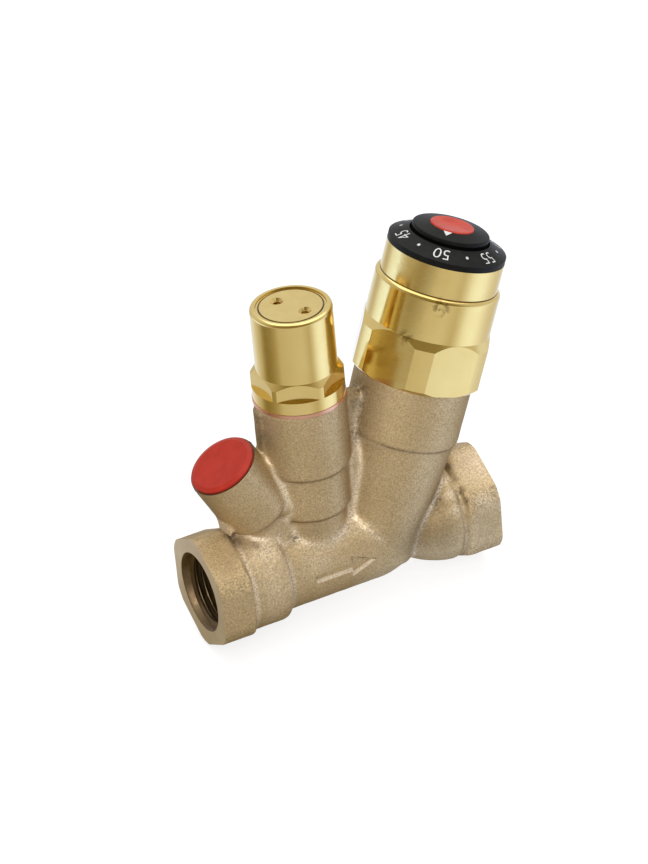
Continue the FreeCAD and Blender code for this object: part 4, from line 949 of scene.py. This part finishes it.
# %% Ring of the studio
NEAR_RING = [(-180, 0.36), (-166, 0.48), (-156, 0.63), (-115, 0.70), (-95, 0.71), (-84, 0.64), (-75, 0.58),
             (-66, 0.75), (-55, 1.0), (-45, 1.10), (-35, 1.12), (-25, 1.05), (-15, 0.92), (-5, 0.82),
             (7, 0.76), (19, 0.80), (31, 0.92), (45, 1.10), (113, 0.90), (123, 0.80), (133, 0.70),
             (145, 0.58), (153, 0.41), (163, 0.30), (172, 0.33), (180, 0.36)]
FAR_RING = [(-180, 0.75), (-165, 0.62), (-150, 0.62), (-110, 0.67), (-92, 0.72), (-75, 0.75), (-55, 1.0),
            (-20, 1.0), (20, 0.8), (45, 1.0), (80, 0.8), (105, 0.62), (116, 0.75), (126, 1.05), (146, 1.30),
            (165, 1.15), (180, 0.75)]
WALL_RING = [(-180, 0.45), (-160, 0.30), (-115, 0.26), (-70, 0.30), (-45, 0.65), (0, 0.72), (65, 0.75),
             (130, 0.70), (180, 0.45)]


def studio_colour(level):
    return level, level * (0.70 + 0.40 * level), level * (0.02 + 1.30 * level)


def studio_ring(tree_owner, direction, ring):
    bearing = add_node(tree_owner, "ShaderNodeTexGradient", Vector=direction)
    bearing.gradient_type = "RADIAL"
    stops = [(degrees / 360 + 0.5, studio_colour(level)) for degrees, level in ring]
    return ramp(tree_owner, bearing.outputs["Fac"], *stops)


print("bearings near, far and on the walls:", len(NEAR_RING), len(FAR_RING), len(WALL_RING))

# %% [markdown]
# The floor is one large square at the lowest point of the CAD box. It belongs to the stage, not to the
# valve.

# %% Floor
FLOOR_SIZE = 6.0
floor_bm = bmesh.new()
bmesh.ops.create_grid(floor_bm, x_segments=1, y_segments=1, size=FLOOR_SIZE / 2)
bmesh.ops.translate(floor_bm, vec=(AIM.x, 0.0, cad_box[0].z), verts=floor_bm.verts[:])
floor_mesh = bpy.data.meshes.new("floor")
floor_bm.to_mesh(floor_mesh)
floor_bm.free()
floor = bpy.data.objects.new("floor", floor_mesh)
bpy.context.scene.collection.objects.link(floor)
print("floor at z = %.2f mm" % (cad_box[0].z / MM))

# %% [markdown]
# The floor glows towards the camera, so that it reads as white paper, and its own diffuse share keeps the
# shadow under the valve. In reflections it shows the near ring, and further out the far ring, less the
# share that the lamps already give it.

# %% Paper of the floor
NEAR_REACH, FAR_REACH = 0.18, 0.36
FLOOR_GLOW, FLOOR_GREY, LAMP_SHARE = 0.80, 0.32, 0.36
paper = bpy.data.materials.new("white_paper")
paper.use_nodes = True
paper.node_tree.nodes.clear()
path = add_node(paper, "ShaderNodeLightPath")
mapping = add_node(paper, "ShaderNodeMapping", Vector=place(paper), Location=(-AIM.x, 0.0, 0.0))
centre = mapping.outputs["Vector"]
from_centre = add_node(paper, "ShaderNodeVectorMath", Vector=centre)
from_centre.operation = "LENGTH"
far_share = ramp(paper, from_centre.outputs["Value"], (NEAR_REACH, 0.0), (FAR_REACH, 1.0))
near_ring, far_ring = (studio_ring(paper, centre, ring) for ring in (NEAR_RING, FAR_RING))
ring_colour = mix(paper, far_share, near_ring, far_ring)
reflected = mix(paper, 1.0, ring_colour, (LAMP_SHARE, LAMP_SHARE, LAMP_SHARE), "SUBTRACT")
direct = math_node(paper, "MAXIMUM", path.outputs["Is Camera Ray"], path.outputs["Is Transmission Ray"])
plain = mix(paper, direct, (0.0, 0.0, 0.0), (FLOOR_GLOW, FLOOR_GLOW, FLOOR_GLOW))
shown = mix(paper, path.outputs["Is Glossy Ray"], plain, reflected)
glow = add_node(paper, "ShaderNodeEmission", Color=shown)
matte = add_node(paper, "ShaderNodeBsdfDiffuse", Color=(FLOOR_GREY, FLOOR_GREY, FLOOR_GREY))
total = add_node(paper, "ShaderNodeAddShader")
feed(paper, total.inputs[0], glow.outputs[0])
feed(paper, total.inputs[1], matte.outputs[0])
add_node(paper, "ShaderNodeOutputMaterial", Surface=total.outputs[0])
floor_mesh.materials.append(paper)
print("finish:", paper.name)

# %% [markdown]
# The world is plain white to the camera, an even grey as light, and the wall ring in reflections.

# %% World
WORLD_LIGHT = 0.5
world = bpy.data.worlds.new("studio")
bpy.context.scene.world = world
world.use_nodes = True
background = world.node_tree.nodes["Background"]
path = add_node(world, "ShaderNodeLightPath")
direction = add_node(world, "ShaderNodeTexCoord").outputs["Generated"]
plain = mix(world, path.outputs["Is Camera Ray"], (WORLD_LIGHT, WORLD_LIGHT, WORLD_LIGHT), (1.0, 1.0, 1.0))
shown = mix(world, path.outputs["Is Glossy Ray"], plain, studio_ring(world, direction, WALL_RING))
feed(world, background.inputs["Color"], shown)
print("world light", WORLD_LIGHT)

# %% [markdown]
# A large sheet overhead and a softbox in front light the whole valve. A mirror-bright piece would show a
# small lamp as a hard spot, so the front one is hidden from reflections, and two smaller softboxes, which
# bring out the round forms of the casting, light the casting alone.

# %% Lamps
def softbox(name, place_at, size, watts):
    data = bpy.data.lights.new(name, "AREA")
    data.shape = "RECTANGLE"
    data.size, data.size_y = size
    data.energy = watts
    lamp = bpy.data.objects.new(name, data)
    lamp.location = AIM + Vector(place_at)
    lamp.rotation_mode = "QUATERNION"
    lamp.rotation_quaternion = Vector(place_at).to_track_quat("Z", "Y")
    bpy.context.scene.collection.objects.link(lamp)
    return lamp


overhead = softbox("overhead_sheet", (0.2, 0.15, 1.0), (1.3, 1.3), 5.8)
front = softbox("front_softbox", (-0.3, -0.75, 0.6), (0.6, 0.6), 4.0)
front.visible_glossy = False
matte_pieces = bpy.data.collections.new("matte_pieces")
matte_pieces.objects.link(casting)
casting_lamps = [softbox("left_softbox", (-0.40, -0.45, 0.45), (0.35, 0.35), 3.0),
                 softbox("right_softbox", (0.6, 0.0, 0.9), (0.5, 0.5), 0.7)]
for lamp in casting_lamps:
    lamp.light_linking.receiver_collection = matte_pieces
print("lamps:", overhead.name, front.name, [lamp.name for lamp in casting_lamps])
